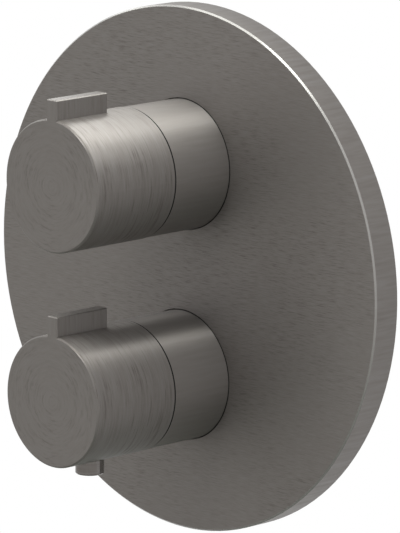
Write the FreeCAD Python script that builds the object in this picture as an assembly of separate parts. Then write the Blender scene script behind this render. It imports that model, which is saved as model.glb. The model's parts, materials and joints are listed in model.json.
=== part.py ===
import FreeCAD, Part
import math
import os

from FreeCAD import Vector

# A concealed thermostatic shower valve with its round cover plate.
#
# The frame: Y runs into the wall and Z up. The origin is on the finished wall
# plane, in the middle of the plate's back. What stands in front of the wall has
# a negative y. The flow control is above and the temperature control below.
# Each control is modelled about the Y axis and then put at its own height.

# ---- Driving sizes, in millimetres ----------------------------------------

# Cover plate
PLATE_RADIUS = 100.0
PLATE_DEPTH = 11.3
PLATE_WALL = 2.5
PLATE_RIM_WALL = 6.0
PLATE_EDGE = 0.6
PLATE_HOLE_GAP = 0.4
COLLAR_WALL = 3.0
COLLAR_TO_WALL = 1.5
GASKET_WIDTH = 2.0
GASKET_DEPTH = 1.2

# Sleeves between the plate and the handles
AXIS_SPACING = 80.8
SLEEVE_RADIUS = 24.65
SLEEVE_WALL = 2.15
SLEEVE_SHOWN = 27.9
SLEEVE_SHOULDER = 1.5
SLEEVE_TO_WALL = 2.0
SLEEVE_EDGE = 0.3

# Handles
HANDLE_GAP = 0.5
HANDLE_RADIUS = 24.85
HANDLE_LENGTH = 39.0
HANDLE_WALL = 2.85
HANDLE_FACE_WALL = 4.0
HANDLE_EDGE = 0.6
FIN_WIDTH = 5.3
FIN_RISE = 7.3
FIN_LENGTH = 25.8
FIN_EDGE = 0.35

# Safety button in the temperature handle
BUTTON_RADIUS = 5.4
BUTTON_RISE = 5.25
BUTTON_SETBACK = 19.1
BUTTON_EDGE = 0.4
BUTTON_TRAVEL = 2.5
BUTTON_CAP_WALL = 0.9
SLIDER_FLANGE = 1.2
SLIDER_THICKNESS = 1.5
SLIDER_BORE = 3.6
SPRING_SEAT_DEPTH = 2.7
SPIGOT_LENGTH = 1.5
PAD_TO_FINGER = 3.0
FINGER_WIDTH = 6.0
FINGER_THICKNESS = 2.5

# Adapters that carry the handles on their spindles
ADAPTER_HUB_RADIUS = 8.5
ADAPTER_RIM_WALL = 2.5
ADAPTER_WEB = 3.0
ADAPTER_TO_FACE = 6.7
ADAPTER_RIM_GAP = 0.6
SCREW_POCKET_DEPTH = 8.0
SCREW_RADIUS = 2.0
SCREW_HEAD_RADIUS = 3.5
SCREW_HEAD_HEIGHT = 2.8
SCREW_SHANK = 13.0
SCREW_HEX = 2.5
SCREW_HEX_DEPTH = 1.25
GRUB_RADIUS = 2.5
GRUB_LENGTH = 4.2
GRUB_HEX = 2.5
GRUB_SINK = 0.6
GRUB_TURN = {"flow": 0.0, "temperature": 45.0}

# Spindles
SPINDLE_RADIUS = 4.5
SPLINE_TEETH = 20
SPLINE_DEPTH = 0.5
SPLINE_TIP_SHARE = 0.2
SPLINE_ROOT_SHARE = 0.38
SPINDLE_RING_START = 11.0
SPINDLE_RING_SPACING = 5.5
SHOULDER_RADIUS = 9.0
SHOULDER_LENGTH = 1.9
CLIP_RADIUS = 7.0
CLIP_THICKNESS = 0.8
CLIP_BITE = 0.7
CLIP_MOUTH = 4.6
CLIP_TO_NECK = 0.5
CLIP_TO_ADAPTER = 1.2
THREAD_RADIUS = 6.0
THREAD_LENGTH = 11.0
TONGUE_WIDTH = 8.6
TONGUE_HEIGHT = 5.6
TONGUE_LENGTH = 3.6

# Necks and chambers of the brass body
NECK_RADIUS = 21.5
NECK_REACH = 20.0
NECK_BORE = 18.4
NECK_EDGE = 0.9
NECK_RING_PLACES = (7.0, 14.0)
CHAMBER_RADIUS = 23.0
CHAMBER_BORE = 17.0
CHAMBER_FRONT = 4.0
CHAMBER_SHOULDER = -5.0
THERMO_DEPTH = 50.0
FLOW_DEPTH = 22.0
BODY_FLOOR = 5.0
BODY_ROUND = 2.0
WEB_WIDTH = 8.0
WEB_FRONT = 8.0
WEB_BACK = 24.0

# Waterways
BRANCH_RADIUS = 14.0
BRANCH_REACH = 40.0
BRANCH_FLARE = 2.0
BRANCH_FLARE_LENGTH = 5.0
BRANCH_BEAD = 0.8
BRANCH_BEAD_LENGTH = 5.0
BRANCH_THREAD_RADIUS = 9.6
BRANCH_THREAD_LENGTH = 12.5
OUTLET_DEPTH = 17.5
OUTLET_BORE = 5.0
GALLERY_HEIGHT = 12.0
GALLERY_WIDTH = 4.6
GALLERY_SHIFT = 0.4
GALLERY_RECESS = 1.5
DUCT_RADIUS = 8.5
DUCT_BORE = 4.5
DUCT_TO_BARREL = 0.6
DUCT_PLUG_RADIUS = 5.5
DUCT_PLUG_LENGTH = 7.0
DUCT_PLUG_HEX = 12.0
DUCT_PLUG_HEAD = 3.0
BOSS_RADIUS = 9.5

# Unions with G 1/2 female ends
UNION_RADIUS = 13.2
UNION_REACH = 64.0
UNION_HEX = 27.0
UNION_HEX_LENGTH = 6.7
UNION_EDGE = 0.6
UNION_END_GAP = 0.9
UNION_STOP_WALL = 1.8
UNION_BORE = 7.6
UNION_STOP_BORE = 6.0
PORT_RADIUS = 9.32
PORT_LENGTH = 14.0

# Check valves in the inlet unions
CHECK_LENGTH = 15.9
CHECK_WALL = 1.5
CHECK_SEAT_LENGTH = 3.0
CHECK_SEAT_BORE = 4.2
CHECK_GUIDE = 2.1
POPPET_RADIUS = 5.2
POPPET_THICKNESS = 1.7
POPPET_STEM = 1.5
STRAINER_LENGTH = 2.4
STRAINER_WALL = 1.6
STRAINER_SHEET = 0.6
STRAINER_HOLE = 1.3
STRAINER_RING = 3.8

# Bracket behind the body
BRACKET_WIDTH = 116.0
BRACKET_HEIGHT = 124.0
BRACKET_SHEET = 2.0
BRACKET_FLANGE = 9.0
BRACKET_CORNER = 8.0
SLOT_SPACING_X = 84.0
SLOT_SPACING_Z = 108.0
SLOT_LENGTH = 14.0
SLOT_WIDTH = 6.4
EAR_RADIUS = 6.0
EAR_DEPTH = 11.0
THERMO_EAR_X = 27.0
FLOW_EAR_X = 17.0
BRACKET_SCREW_RADIUS = 2.0
BRACKET_SCREW_LENGTH = 9.0
BRACKET_HEAD_RADIUS = 3.8
BRACKET_HEAD_HEIGHT = 2.4

# Cartridges, both with the same flange and neck
CARTRIDGE_RADIUS = 16.9
FLANGE_RADIUS = 18.0
FLANGE_THICKNESS = 3.0
CARTRIDGE_NECK_RADIUS = 11.0
CARTRIDGE_TO_SLEEVE_END = 1.2
CAVITY_RADIUS = 13.6
CAVITY_FRONT = -1.0
NUT_LENGTH = 10.4
NUT_HEX = 30.0
NUT_HEX_LENGTH = 5.5

# Ceramic disc stack of the flow cartridge
DRIVER_RADIUS = 13.0
DRIVER_LENGTH = 4.0
DISC_RADIUS = 13.3
DISC_THICKNESS = 4.0
DOG_RADIUS = 1.5
DOG_LENGTH = 1.4
DOG_OFFSET = 9.0
CENTRE_PORT = 3.0
SIDE_PORT = 2.6
SIDE_PORT_X = 8.5
BASE_SPIGOT = 1.8
BASE_SEAL = 1.6
BASE_SEAL_WIDTH = 3.0

# Thermostatic cartridge
HOUSING_END = 21.8
HOUSING_RING_TO_END = 9.4
BARREL_RING_TO_END = 3.0
BARREL_SPIGOT = 3.8
BARREL_SPIGOT_RADIUS = 14.9
SEAT_RADIUS = 11.5
SEAT_THICKNESS = 1.1
SEAT_SPACING = 9.8
CAGE_LENGTH = 9.0
WINDOW_COUNT = 6
WINDOW_WIDTH = 8.0
HOT_WINDOW_LENGTH = 2.6
CAGE_RADIUS = 16.5
CAGE_RING = 1.6
CAGE_OPENING = 8.0
CAGE_POST = 3.0
CAGE_POSTS = 4
STOP_RING_RADIUS = 16.0
STOP_RING_THICKNESS = 3.5
STOP_RING_SETBACK = 0.5
STOP_LUG_OUTER = 19.4
STOP_LUG_INNER = 17.4
STOP_LUG_WIDTH = 4.0
STOP_LUG_REACH = 4.6

# Adjusting nut with its overload spring
NUT_HUB_START = 3.0
NUT_HUB_LENGTH = 5.0
NUT_SPARE_TRAVEL = 3.0
CUP_RADIUS = 12.6
CUP_WALL = 1.6
CUP_LENGTH = 12.4
LUG_WIDTH = 3.6
LUG_RADIUS = 14.5
OVERLOAD_WIRE = 0.9
OVERLOAD_LENGTH = 8.9
OVERLOAD_TURNS = 3
SPRING_CUP_THICKNESS = 1.6
PISTON_RADIUS = 2.0
PISTON_LENGTH = 10.4

# Wax element and shuttle
GUIDE_RADIUS = 4.5
GUIDE_LENGTH = 5.4
ELEMENT_FLANGE = 7.5
ELEMENT_FLANGE_LENGTH = 2.0
BULB_RADIUS = 6.0
BULB_LENGTH = 13.0
BULB_EDGE = 1.0
ELEMENT_FRONT = 22.6
SHUTTLE_FRONT = 24.0
SHUTTLE_LENGTH = 7.0
SHUTTLE_WALL = 2.0
SPOKE_WIDTH = 2.4
SPOKE_LENGTH = 1.4
RETURN_WIRE = 0.6
RETURN_RADIUS = 10.0
RETURN_TURNS = 5

# Other springs
BUTTON_SPRING_WIRE = 0.35
BUTTON_SPRING_TURNS = 6
CHECK_SPRING_WIRE = 0.35
CHECK_SPRING_RADIUS = 3.0
CHECK_SPRING_TURNS = 5

# Rings of rubber: the thickness of each section
NECK_ORING = 1.9
COLLAR_ORING = 1.7
CARTRIDGE_ORING = 1.5
SPINDLE_ORING = 1.1
SHUTTLE_ORING = 1.2
UNION_ORING = 1.8

# Clearances
RUNNING = 0.05
FIT = 0.1
EASE = 0.3
GROOVE_SIDE = 0.2
OVERCUT = 1.0

# ---- Places that follow from the sizes ------------------------------------

plate_front = -PLATE_DEPTH
sleeve_front = plate_front - SLEEVE_SHOWN
sleeve_back = -SLEEVE_TO_WALL
sleeve_bore = SLEEVE_RADIUS - SLEEVE_WALL
plate_hole = SLEEVE_RADIUS + PLATE_HOLE_GAP
handle_back = sleeve_front - HANDLE_GAP
handle_front = handle_back - HANDLE_LENGTH
handle_inner = handle_front + HANDLE_FACE_WALL
handle_bore = HANDLE_RADIUS - HANDLE_WALL
button_y = handle_front + BUTTON_SETBACK
cartridge_front = sleeve_front + CARTRIDGE_TO_SLEEVE_END
flange_front = CHAMBER_SHOULDER - FLANGE_THICKNESS
adapter_front = handle_inner + ADAPTER_TO_FACE
adapter_seat = adapter_front + SCREW_POCKET_DEPTH
spindle_front = adapter_seat + ADAPTER_WEB
clip_back = cartridge_front - CLIP_TO_NECK
adapter_back = clip_back - CLIP_THICKNESS - CLIP_TO_ADAPTER
flange_radius = BUTTON_RADIUS + SLIDER_FLANGE
lug_front = cartridge_front - STOP_LUG_REACH
rim_front = button_y + flange_radius + ADAPTER_RIM_GAP
rim_back = lug_front - ADAPTER_RIM_GAP
rim_radius = handle_bore - FIT
shoulder_back = CAVITY_FRONT + FIT + SHOULDER_LENGTH
flow_height = AXIS_SPACING / 2
temperature_height = -AXIS_SPACING / 2
body_back = THERMO_DEPTH + BODY_FLOOR
barrel_end = THERMO_DEPTH - CAGE_LENGTH
hot_seat_back = HOUSING_END + SEAT_THICKNESS
cold_seat_front = hot_seat_back + SEAT_SPACING
inlet_depth = (hot_seat_back + cold_seat_front) / 2
hot_gallery = hot_seat_back + HOT_WINDOW_LENGTH / 2 - GALLERY_SHIFT
cold_gallery = cold_seat_front - HOT_WINDOW_LENGTH / 2 + GALLERY_SHIFT
duct_depth = barrel_end + DUCT_BORE + DUCT_TO_BARREL
duct_top = flow_height + BOSS_RADIUS + DUCT_PLUG_LENGTH / 2
thread_start = BRANCH_REACH - BRANCH_THREAD_LENGTH
union_start = thread_start + UNION_END_GAP
check_start = union_start + UNION_STOP_WALL
check_end = check_start + CHECK_LENGTH
check_radius = UNION_BORE - FIT

made = {}


# ---- Plain forms -----------------------------------------------------------

def disc(radius, front, back, x=0.0, z=0.0):
    """A round bar along Y between two depths."""
    return Part.makeCylinder(radius, back - front, Vector(x, front, z), Vector(0, 1, 0))


def ring(outer, inner, front, back):
    """A tube along the Y axis."""
    return disc(outer, front, back).cut(disc(inner, front - OVERCUT, back + OVERCUT))


def turned(*corners):
    """A form turned about the Y axis. Each corner is its radius and its depth."""
    points = [Vector(radius, depth, 0) for radius, depth in corners]
    face = Part.Face(Part.makePolygon(points + points[:1]))
    return face.revolve(Vector(0, 0, 0), Vector(0, 1, 0), 360)


def turned_on_x(side, *corners):
    """A form turned about the X axis, on one side. Each corner is its reach and its radius."""
    points = [Vector(side * reach, radius, 0) for reach, radius in corners]
    face = Part.Face(Part.makePolygon(points + points[:1]))
    return face.revolve(Vector(0, 0, 0), Vector(1, 0, 0), 360)


def rod_x(radius, start, end, y=0.0, z=0.0):
    """A round bar along X."""
    low, high = min(start, end), max(start, end)
    return Part.makeCylinder(radius, high - low, Vector(low, y, z), Vector(1, 0, 0))


def rod_z(radius, low, high, y=0.0, x=0.0):
    """A round bar along Z."""
    return Part.makeCylinder(radius, high - low, Vector(x, y, low), Vector(0, 0, 1))


def block(x, y, z):
    """A box between two limits on each axis."""
    size = [max(pair) - min(pair) for pair in (x, y, z)]
    return Part.makeBox(*size, Vector(min(x), min(y), min(z)))


def prism(points, length, direction):
    """A straight bar with a polygon for its section."""
    face = Part.Face(Part.makePolygon(points + points[:1]))
    return face.extrude(direction * length)


def hexagon(across_flats, start, end, axis="y"):
    """A hexagonal bar along Y, X or Z."""
    corner = across_flats / math.sqrt(3)
    turns = [math.radians(60 * step + 30) for step in range(6)]
    flat = [(corner * math.cos(turn), corner * math.sin(turn)) for turn in turns]
    if axis == "y":
        points = [Vector(u, start, v) for u, v in flat]
        return prism(points, end - start, Vector(0, 1, 0))
    if axis == "x":
        points = [Vector(start, u, v) for u, v in flat]
        return prism(points, end - start, Vector(1, 0, 0))
    points = [Vector(u, v, start) for u, v in flat]
    return prism(points, end - start, Vector(0, 0, 1))


def turned_corners(bar, across_flats, start, direction, length):
    """A hexagonal bar with its corners turned off at 30 degrees at both ends."""
    inner = across_flats / 2 - FIT
    outer = inner + length / math.tan(math.radians(30))
    end = start + direction * length
    bar = bar.common(Part.makeCone(inner, outer, length, start, direction))
    return bar.common(Part.makeCone(inner, outer, length, end, direction * -1))


def splined(tip, root, start, end):
    """A bar along Y with straight teeth round it."""
    points = []
    pitch = 2 * math.pi / SPLINE_TEETH
    shares = (
        (-SPLINE_ROOT_SHARE, root),
        (-SPLINE_TIP_SHARE, tip),
        (SPLINE_TIP_SHARE, tip),
        (SPLINE_ROOT_SHARE, root),
    )
    for tooth in range(SPLINE_TEETH):
        for share, radius in shares:
            turn = pitch * (tooth + share)
            points.append(Vector(radius * math.cos(turn), start, radius * math.sin(turn)))
    return prism(points, end - start, Vector(0, 1, 0))


def oring(inner, thickness, depth):
    """A rubber ring about the Y axis, by its inner radius."""
    half = thickness / 2
    return Part.makeTorus(inner + half, half, Vector(0, depth, 0), Vector(0, 1, 0))


def groove(outer, bottom, thickness, depth):
    """What a rubber ring's groove takes away from a bar."""
    half = thickness / 2 + GROOVE_SIDE
    return ring(outer + OVERCUT, bottom, depth - half, depth + half)


def turned_copies(shape, count):
    """The shape repeated evenly about the Y axis, as one."""
    copies = []
    for step in range(count):
        copy = shape.copy()
        copy.rotate(Vector(0, 0, 0), Vector(0, 1, 0), 360 * step / count)
        copies.append(copy)
    return joined(copies)


def joined(shapes):
    """Several forms that meet, as one solid."""
    whole = shapes[0]
    if len(shapes) > 1:
        whole = whole.multiFuse(shapes[1:])
    return whole.removeSplitter()


def lifted(shape, x=0.0, y=0.0, z=0.0):
    """A copy moved to its place."""
    copy = shape.copy()
    copy.translate(Vector(x, y, z))
    return copy


def keep(name, *shapes):
    """Checks the solids of one node and keeps them for export."""
    solids = [solid for shape in shapes for solid in shape.Solids]
    for solid in solids:
        if not solid.isValid() or solid.Volume <= 0:
            raise ValueError("the solid of " + name + " isn't sound")
    made[name] = solids


# ---- Springs ---------------------------------------------------------------

def arc_between(start, end, corner):
    """The arc that leaves start towards corner and arrives at end from it."""
    middle = (start + end) * 0.5
    rise = (corner - middle).Length
    half_chord = (start - middle).Length
    leg = math.hypot(rise, half_chord)
    radius = leg * half_chord / rise
    height = radius * (1 - half_chord / leg)
    top = middle + (corner - middle) * (height / rise)
    return Part.Arc(start, top, end).toShape()


def helix_point(radius, pitch, turn):
    return Vector(radius * math.cos(turn), radius * math.sin(turn), pitch * turn / (2 * math.pi))


def helix_direction(radius, pitch, turn):
    rise = pitch / (2 * math.pi)
    along = Vector(-radius * math.sin(turn), radius * math.cos(turn), rise)
    return along.normalize()


def coil(radius, wire, turns, length):
    """A wire spring up the Z axis from 0 to length, as one pipe on two arcs for each half turn."""
    pitch = (length - 2 * wire) / turns
    arcs = []
    for half_turn in range(2 * turns):
        first, last = math.pi * half_turn, math.pi * (half_turn + 1)
        start, end = helix_point(radius, pitch, first), helix_point(radius, pitch, last)
        leave, arrive = helix_direction(radius, pitch, first), helix_direction(radius, pitch, last)
        chord = end - start
        both = leave + arrive
        share = 2 * (1 - leave.dot(arrive))
        ahead = chord.dot(both)
        leg = (math.sqrt(ahead ** 2 + share * chord.dot(chord)) - ahead) / share
        near, far = start + leave * leg, end - arrive * leg
        meeting = (near + far) * 0.5
        arcs.append(arc_between(start, meeting, near))
        arcs.append(arc_between(meeting, end, far))
    path = Part.Wire(arcs)
    direction = helix_direction(radius, pitch, 0)
    section = Part.Wire(Part.makeCircle(wire, helix_point(radius, pitch, 0), direction))
    pipe = Part.BRepOffsetAPI.MakePipeShell(path)
    pipe.add(section)
    pipe.build()
    pipe.makeSolid()
    spring = pipe.shape()
    spring.translate(Vector(0, 0, wire))
    return spring


def coil_gap(radius, wire, turns, length):
    """The least gap between neighbouring turns, measured on points of the wire's middle."""
    pitch = (length - 2 * wire) / turns
    turns_read = [math.radians(10 * step) for step in range(36 * turns + 1)]
    points = [helix_point(radius, pitch, turn) for turn in turns_read]
    apart = [
        points[here].distanceToPoint(points[there])
        for here in range(len(points))
        for there in range(here + 18, len(points))
    ]
    return min(apart) - 2 * wire


def spring_on_y(name, radius, wire, turns, front, back):
    """A spring between two depths on the Y axis. Its gap to itself is printed."""
    spring = coil(radius, wire, turns, back - front)
    spring.rotate(Vector(0, 0, 0), Vector(1, 0, 0), -90)
    spring.translate(Vector(0, front, 0))
    print(name, "least gap between turns", round(coil_gap(radius, wire, turns, back - front), 2))
    return spring


# ---- Cover plate -----------------------------------------------------------

collar_back = -COLLAR_TO_WALL
collar_front = plate_front + PLATE_WALL
collar_ring_y = (collar_back + collar_front) / 2
collar_groove = SLEEVE_RADIUS + COLLAR_ORING + RUNNING * 2


def cover_plate():
    """A dished round plate with a collar behind each opening and a groove for the gasket."""
    rim_inner = PLATE_RADIUS - PLATE_RIM_WALL
    plate = turned(
        (0, plate_front),
        (PLATE_RADIUS - PLATE_EDGE, plate_front),
        (PLATE_RADIUS, plate_front + PLATE_EDGE),
        (PLATE_RADIUS, 0),
        (rim_inner, 0),
        (rim_inner, collar_front),
        (0, collar_front),
    )
    heights = (flow_height, temperature_height)
    collar = disc(plate_hole + COLLAR_WALL, plate_front + PLATE_EDGE, collar_back)
    half_groove = COLLAR_ORING / 2 + GROOVE_SIDE
    opening = joined([
        disc(plate_hole, plate_front - OVERCUT, collar_back + OVERCUT),
        disc(collar_groove, collar_ring_y - half_groove, collar_ring_y + half_groove),
    ])
    plate = joined([plate] + [lifted(collar, z=height) for height in heights])
    for height in heights:
        plate = plate.cut(lifted(opening, z=height))
    return plate.cut(gasket(FIT))


def gasket(gap):
    """The ring of foam in the rim, or its groove when a gap is given."""
    middle = PLATE_RADIUS - PLATE_RIM_WALL / 2
    half = GASKET_WIDTH / 2 + gap
    back = OVERCUT if gap else 0.0
    return ring(middle + half, middle - half, -GASKET_DEPTH - gap / 2, back)


def make_plate():
    collar_ring = oring(SLEEVE_RADIUS + RUNNING, COLLAR_ORING, collar_ring_y)
    heights = (flow_height, temperature_height)
    keep("cover_plate", cover_plate())
    keep("plate_gasket", gasket(0.0))
    keep("plate_orings", *[lifted(collar_ring, z=height) for height in heights])


# ---- Sleeves ---------------------------------------------------------------

neck_ring_inner = sleeve_bore - RUNNING - NECK_ORING
neck_ring_depths = [-place for place in NECK_RING_PLACES]


def sleeve():
    """A tube that seats with an inner shoulder on the body's neck."""
    small = sleeve_bore - SLEEVE_SHOULDER
    seat = -NECK_REACH - RUNNING
    return turned(
        (SLEEVE_RADIUS - SLEEVE_EDGE, sleeve_front),
        (SLEEVE_RADIUS, sleeve_front + SLEEVE_EDGE),
        (SLEEVE_RADIUS, sleeve_back),
        (sleeve_bore, sleeve_back),
        (sleeve_bore, seat),
        (small, seat),
        (small, sleeve_front),
    )


def make_sleeves():
    keep("flow_sleeve", lifted(sleeve(), z=flow_height))
    keep("temperature_sleeve", lifted(sleeve(), z=temperature_height))
    rings = []
    for height in (flow_height, temperature_height):
        for depth in neck_ring_depths:
            rings.append(lifted(oring(neck_ring_inner, NECK_ORING, depth), z=height))
    keep("sleeve_orings", *rings)


# ---- Handles ---------------------------------------------------------------

def fin():
    """The grip on a handle: a flat bar, flush with the handle's face."""
    top = HANDLE_RADIUS + FIN_RISE
    half = FIN_WIDTH / 2
    back = handle_front + FIN_LENGTH
    bar = block((-half, half), (handle_front, back), (handle_bore + HANDLE_WALL / 2, top))
    sharp = []
    for edge in bar.Edges:
        box = edge.BoundBox
        if box.ZMax > top - FIT and box.ZLength < FIT:
            sharp.append(edge)
        if box.ZLength > FIN_RISE:
            sharp.append(edge)
    return bar.makeChamfer(FIN_EDGE, sharp)


def grub_place(shape, control):
    """Turns a form made at the lowest point of the handle to the grub screw's place."""
    copy = shape.copy()
    copy.rotate(Vector(0, 0, 0), Vector(0, 1, 0), GRUB_TURN[control])
    return copy


grub_y = (rim_front + rim_back) / 2
grub_outer = -HANDLE_RADIUS + GRUB_SINK
grub_tip = grub_outer + GRUB_LENGTH


def handle(control):
    """A cup that opens towards the wall, with its fin and the hole for its grub screw."""
    shell = turned(
        (0, handle_front),
        (HANDLE_RADIUS - HANDLE_EDGE, handle_front),
        (HANDLE_RADIUS, handle_front + HANDLE_EDGE),
        (HANDLE_RADIUS, handle_back),
        (handle_bore, handle_back),
        (handle_bore, handle_inner),
        (0, handle_inner),
    )
    shell = joined([shell, fin()])
    grub_hole = rod_z(GRUB_RADIUS + FIT, -HANDLE_RADIUS - OVERCUT, -handle_bore / 2, grub_y)
    shell = shell.cut(grub_place(grub_hole, control))
    if control == "temperature":
        hole = rod_z(BUTTON_RADIUS + FIT, -HANDLE_RADIUS - OVERCUT, -handle_bore / 2, button_y)
        shell = shell.cut(hole)
    return shell


def grub_screw(control):
    """A set screw with a hexagon socket, which clamps the handle to its adapter."""
    screw = rod_z(GRUB_RADIUS, grub_outer, grub_tip, grub_y)
    socket = lifted(
        hexagon(GRUB_HEX, grub_outer - OVERCUT, grub_outer + GRUB_LENGTH / 2, "z"), y=grub_y
    )
    return grub_place(screw.cut(socket), control)


def adapter_screw():
    """The screw that holds the adapter on the spindle's end."""
    head_front = adapter_seat - SCREW_HEAD_HEIGHT
    screw = joined([
        disc(SCREW_HEAD_RADIUS, head_front, adapter_seat),
        disc(SCREW_RADIUS, adapter_seat - FIT, adapter_seat + SCREW_SHANK),
    ])
    return screw.cut(hexagon(SCREW_HEX, head_front - OVERCUT, head_front + SCREW_HEX_DEPTH))


finger_outer = math.sqrt(handle_bore ** 2 - flange_radius ** 2) - EASE
finger_inner = finger_outer - FINGER_THICKNESS
slider_inner = finger_outer - SLIDER_THICKNESS
spring_pad = finger_inner - BUTTON_TRAVEL - PAD_TO_FINGER
spring_top = HANDLE_RADIUS + BUTTON_RISE - SPRING_SEAT_DEPTH
spring_mean = SLIDER_BORE - FIT - BUTTON_SPRING_WIRE


def adapter(control):
    """The piece between spindle and handle: a splined hub, a web and a rim inside the handle."""
    web_front = (rim_front + rim_back - ADAPTER_WEB) / 2
    web = disc(rim_radius - FIT, web_front, web_front + ADAPTER_WEB)
    body = joined([
        disc(ADAPTER_HUB_RADIUS, adapter_front, adapter_back),
        web,
        ring(rim_radius, rim_radius - ADAPTER_RIM_WALL, rim_front, rim_back),
    ])
    if control == "temperature":
        pad = rod_z(ADAPTER_HUB_RADIUS / 2, -spring_pad, -ADAPTER_HUB_RADIUS / 2, button_y)
        spigot_radius = spring_mean - BUTTON_SPRING_WIRE * 2
        spigot = rod_z(spigot_radius, -spring_pad - SPIGOT_LENGTH, -spring_pad + FIT, button_y)
        body = joined([body, pad, spigot])
        half = FINGER_WIDTH / 2 + EASE * 2
        deepest = finger_inner - BUTTON_TRAVEL - EASE * 2
        body = body.cut(block((-half, half), (rim_front - OVERCUT, rim_back + OVERCUT),
                              (-handle_bore, -deepest)))
    pocket = disc(SCREW_HEAD_RADIUS + EASE, adapter_front - OVERCUT, adapter_seat)
    hole = disc(SCREW_RADIUS + FIT, adapter_seat - OVERCUT, spindle_front)
    teeth = splined(SPINDLE_RADIUS + FIT, SPINDLE_RADIUS - SPLINE_DEPTH + FIT,
                    spindle_front - FIT, adapter_back + OVERCUT)
    body = body.cut(joined([pocket, hole])).cut(teeth)
    grub_hole = rod_z(GRUB_RADIUS + FIT / 2, -handle_bore, grub_tip + EASE, grub_y)
    return body.cut(grub_place(grub_hole, control))


# ---- Spindles --------------------------------------------------------------

spindle_ring_depths = (
    cartridge_front + SPINDLE_RING_START,
    cartridge_front + SPINDLE_RING_START + SPINDLE_RING_SPACING,
)
spindle_ring_inner = SPINDLE_RADIUS - RUNNING - SPINDLE_ORING
clip_inner = SPINDLE_RADIUS - CLIP_BITE


def spindle(tail):
    """A shaft with a splined end, three grooves, and a shoulder inside the cartridge."""
    spline_end = adapter_back + EASE
    shaft = joined([
        splined(SPINDLE_RADIUS, SPINDLE_RADIUS - SPLINE_DEPTH, spindle_front, spline_end),
        disc(SPINDLE_RADIUS, spline_end, CAVITY_FRONT + FIT * 2),
        disc(SHOULDER_RADIUS, CAVITY_FRONT + FIT, shoulder_back),
        tail,
    ])
    for depth in spindle_ring_depths:
        shaft = shaft.cut(groove(SPINDLE_RADIUS, spindle_ring_inner - RUNNING, SPINDLE_ORING, depth))
    clip_front = clip_back - CLIP_THICKNESS
    shaft = shaft.cut(ring(SPINDLE_RADIUS + OVERCUT, clip_inner - RUNNING,
                           clip_front - RUNNING, clip_back + RUNNING))
    hole = disc(SCREW_RADIUS + RUNNING, spindle_front - OVERCUT, adapter_seat + SCREW_SHANK + EASE)
    return shaft.cut(hole)


def spindle_clip():
    """An open retaining ring in the spindle's groove."""
    clip = ring(CLIP_RADIUS, clip_inner, clip_back - CLIP_THICKNESS, clip_back)
    mouth = CLIP_MOUTH / 2
    return clip.cut(block((-mouth, mouth), (clip_back - OVERCUT * 2, clip_back + OVERCUT),
                          (-CLIP_RADIUS - OVERCUT, 0)))


def make_control(control, spindle_name, tail, height):
    """Everything that turns with one handle."""
    rings = [oring(spindle_ring_inner, SPINDLE_ORING, depth) for depth in spindle_ring_depths]
    keep(control + "_handle", lifted(handle(control), z=height))
    keep(control + "_adapter", lifted(adapter(control), z=height))
    keep(control + "_adapter_screw", lifted(adapter_screw(), z=height))
    keep(control + "_grub_screw", lifted(grub_screw(control), z=height))
    keep(spindle_name, lifted(spindle(tail), z=height))
    keep(spindle_name + "_clip", lifted(spindle_clip(), z=height))
    keep(spindle_name + "_orings", *[lifted(piece, z=height) for piece in rings])


# ---- Safety button ---------------------------------------------------------

def button_cap():
    """The metal cap that the finger presses."""
    end = -HANDLE_RADIUS - BUTTON_RISE
    cap = rod_z(BUTTON_RADIUS, end, -finger_outer - FIT, button_y)
    rim = [edge for edge in cap.Edges if edge.BoundBox.ZMax < end + FIT]
    cap = cap.makeChamfer(BUTTON_EDGE, rim)
    inside = BUTTON_RADIUS - BUTTON_CAP_WALL
    return cap.cut(rod_z(inside, end + BUTTON_CAP_WALL, -finger_outer + OVERCUT, button_y))


def stop_slider():
    """The moulded stem in the cap, with its flange inside the handle and the stop finger."""
    stem_radius = BUTTON_RADIUS - BUTTON_CAP_WALL - FIT / 2
    stem_end = -HANDLE_RADIUS - BUTTON_RISE + BUTTON_CAP_WALL + FIT
    half = FINGER_WIDTH / 2
    finger_tip = lug_front - EASE
    slider = joined([
        rod_z(stem_radius, stem_end, -slider_inner - FIT, button_y),
        rod_z(flange_radius, -finger_outer, -slider_inner, button_y),
        block((-half, half), (button_y, finger_tip), (-finger_outer, -finger_inner)),
    ])
    return slider.cut(rod_z(SLIDER_BORE, -spring_top, -finger_inner + OVERCUT, button_y))


def button_spring():
    """The spring between the adapter's pad and the slider."""
    low, high = -spring_top + RUNNING, -spring_pad - RUNNING
    gap = coil_gap(spring_mean, BUTTON_SPRING_WIRE, BUTTON_SPRING_TURNS, high - low)
    print("button_spring least gap between turns", round(gap, 2))
    spring = coil(spring_mean, BUTTON_SPRING_WIRE, BUTTON_SPRING_TURNS, high - low)
    return lifted(spring, y=button_y, z=low)


def make_button():
    keep("button_cap", lifted(button_cap(), z=temperature_height))
    keep("stop_slider", lifted(stop_slider(), z=temperature_height))
    keep("button_spring", lifted(button_spring(), z=temperature_height))


# ---- Brass body ------------------------------------------------------------

def chamber(depth):
    """The outer form of a neck and the chamber behind it."""
    back = depth + BODY_FLOOR
    form = turned(
        (0, -NECK_REACH),
        (NECK_RADIUS - NECK_EDGE, -NECK_REACH),
        (NECK_RADIUS, -NECK_REACH + NECK_EDGE),
        (NECK_RADIUS, CHAMBER_FRONT - (CHAMBER_RADIUS - NECK_RADIUS)),
        (CHAMBER_RADIUS, CHAMBER_FRONT),
        (CHAMBER_RADIUS, back),
        (0, back),
    )
    return form.makeFillet(BODY_ROUND, [edge for edge in form.Edges if edge.BoundBox.YMin > back - FIT])


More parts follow.
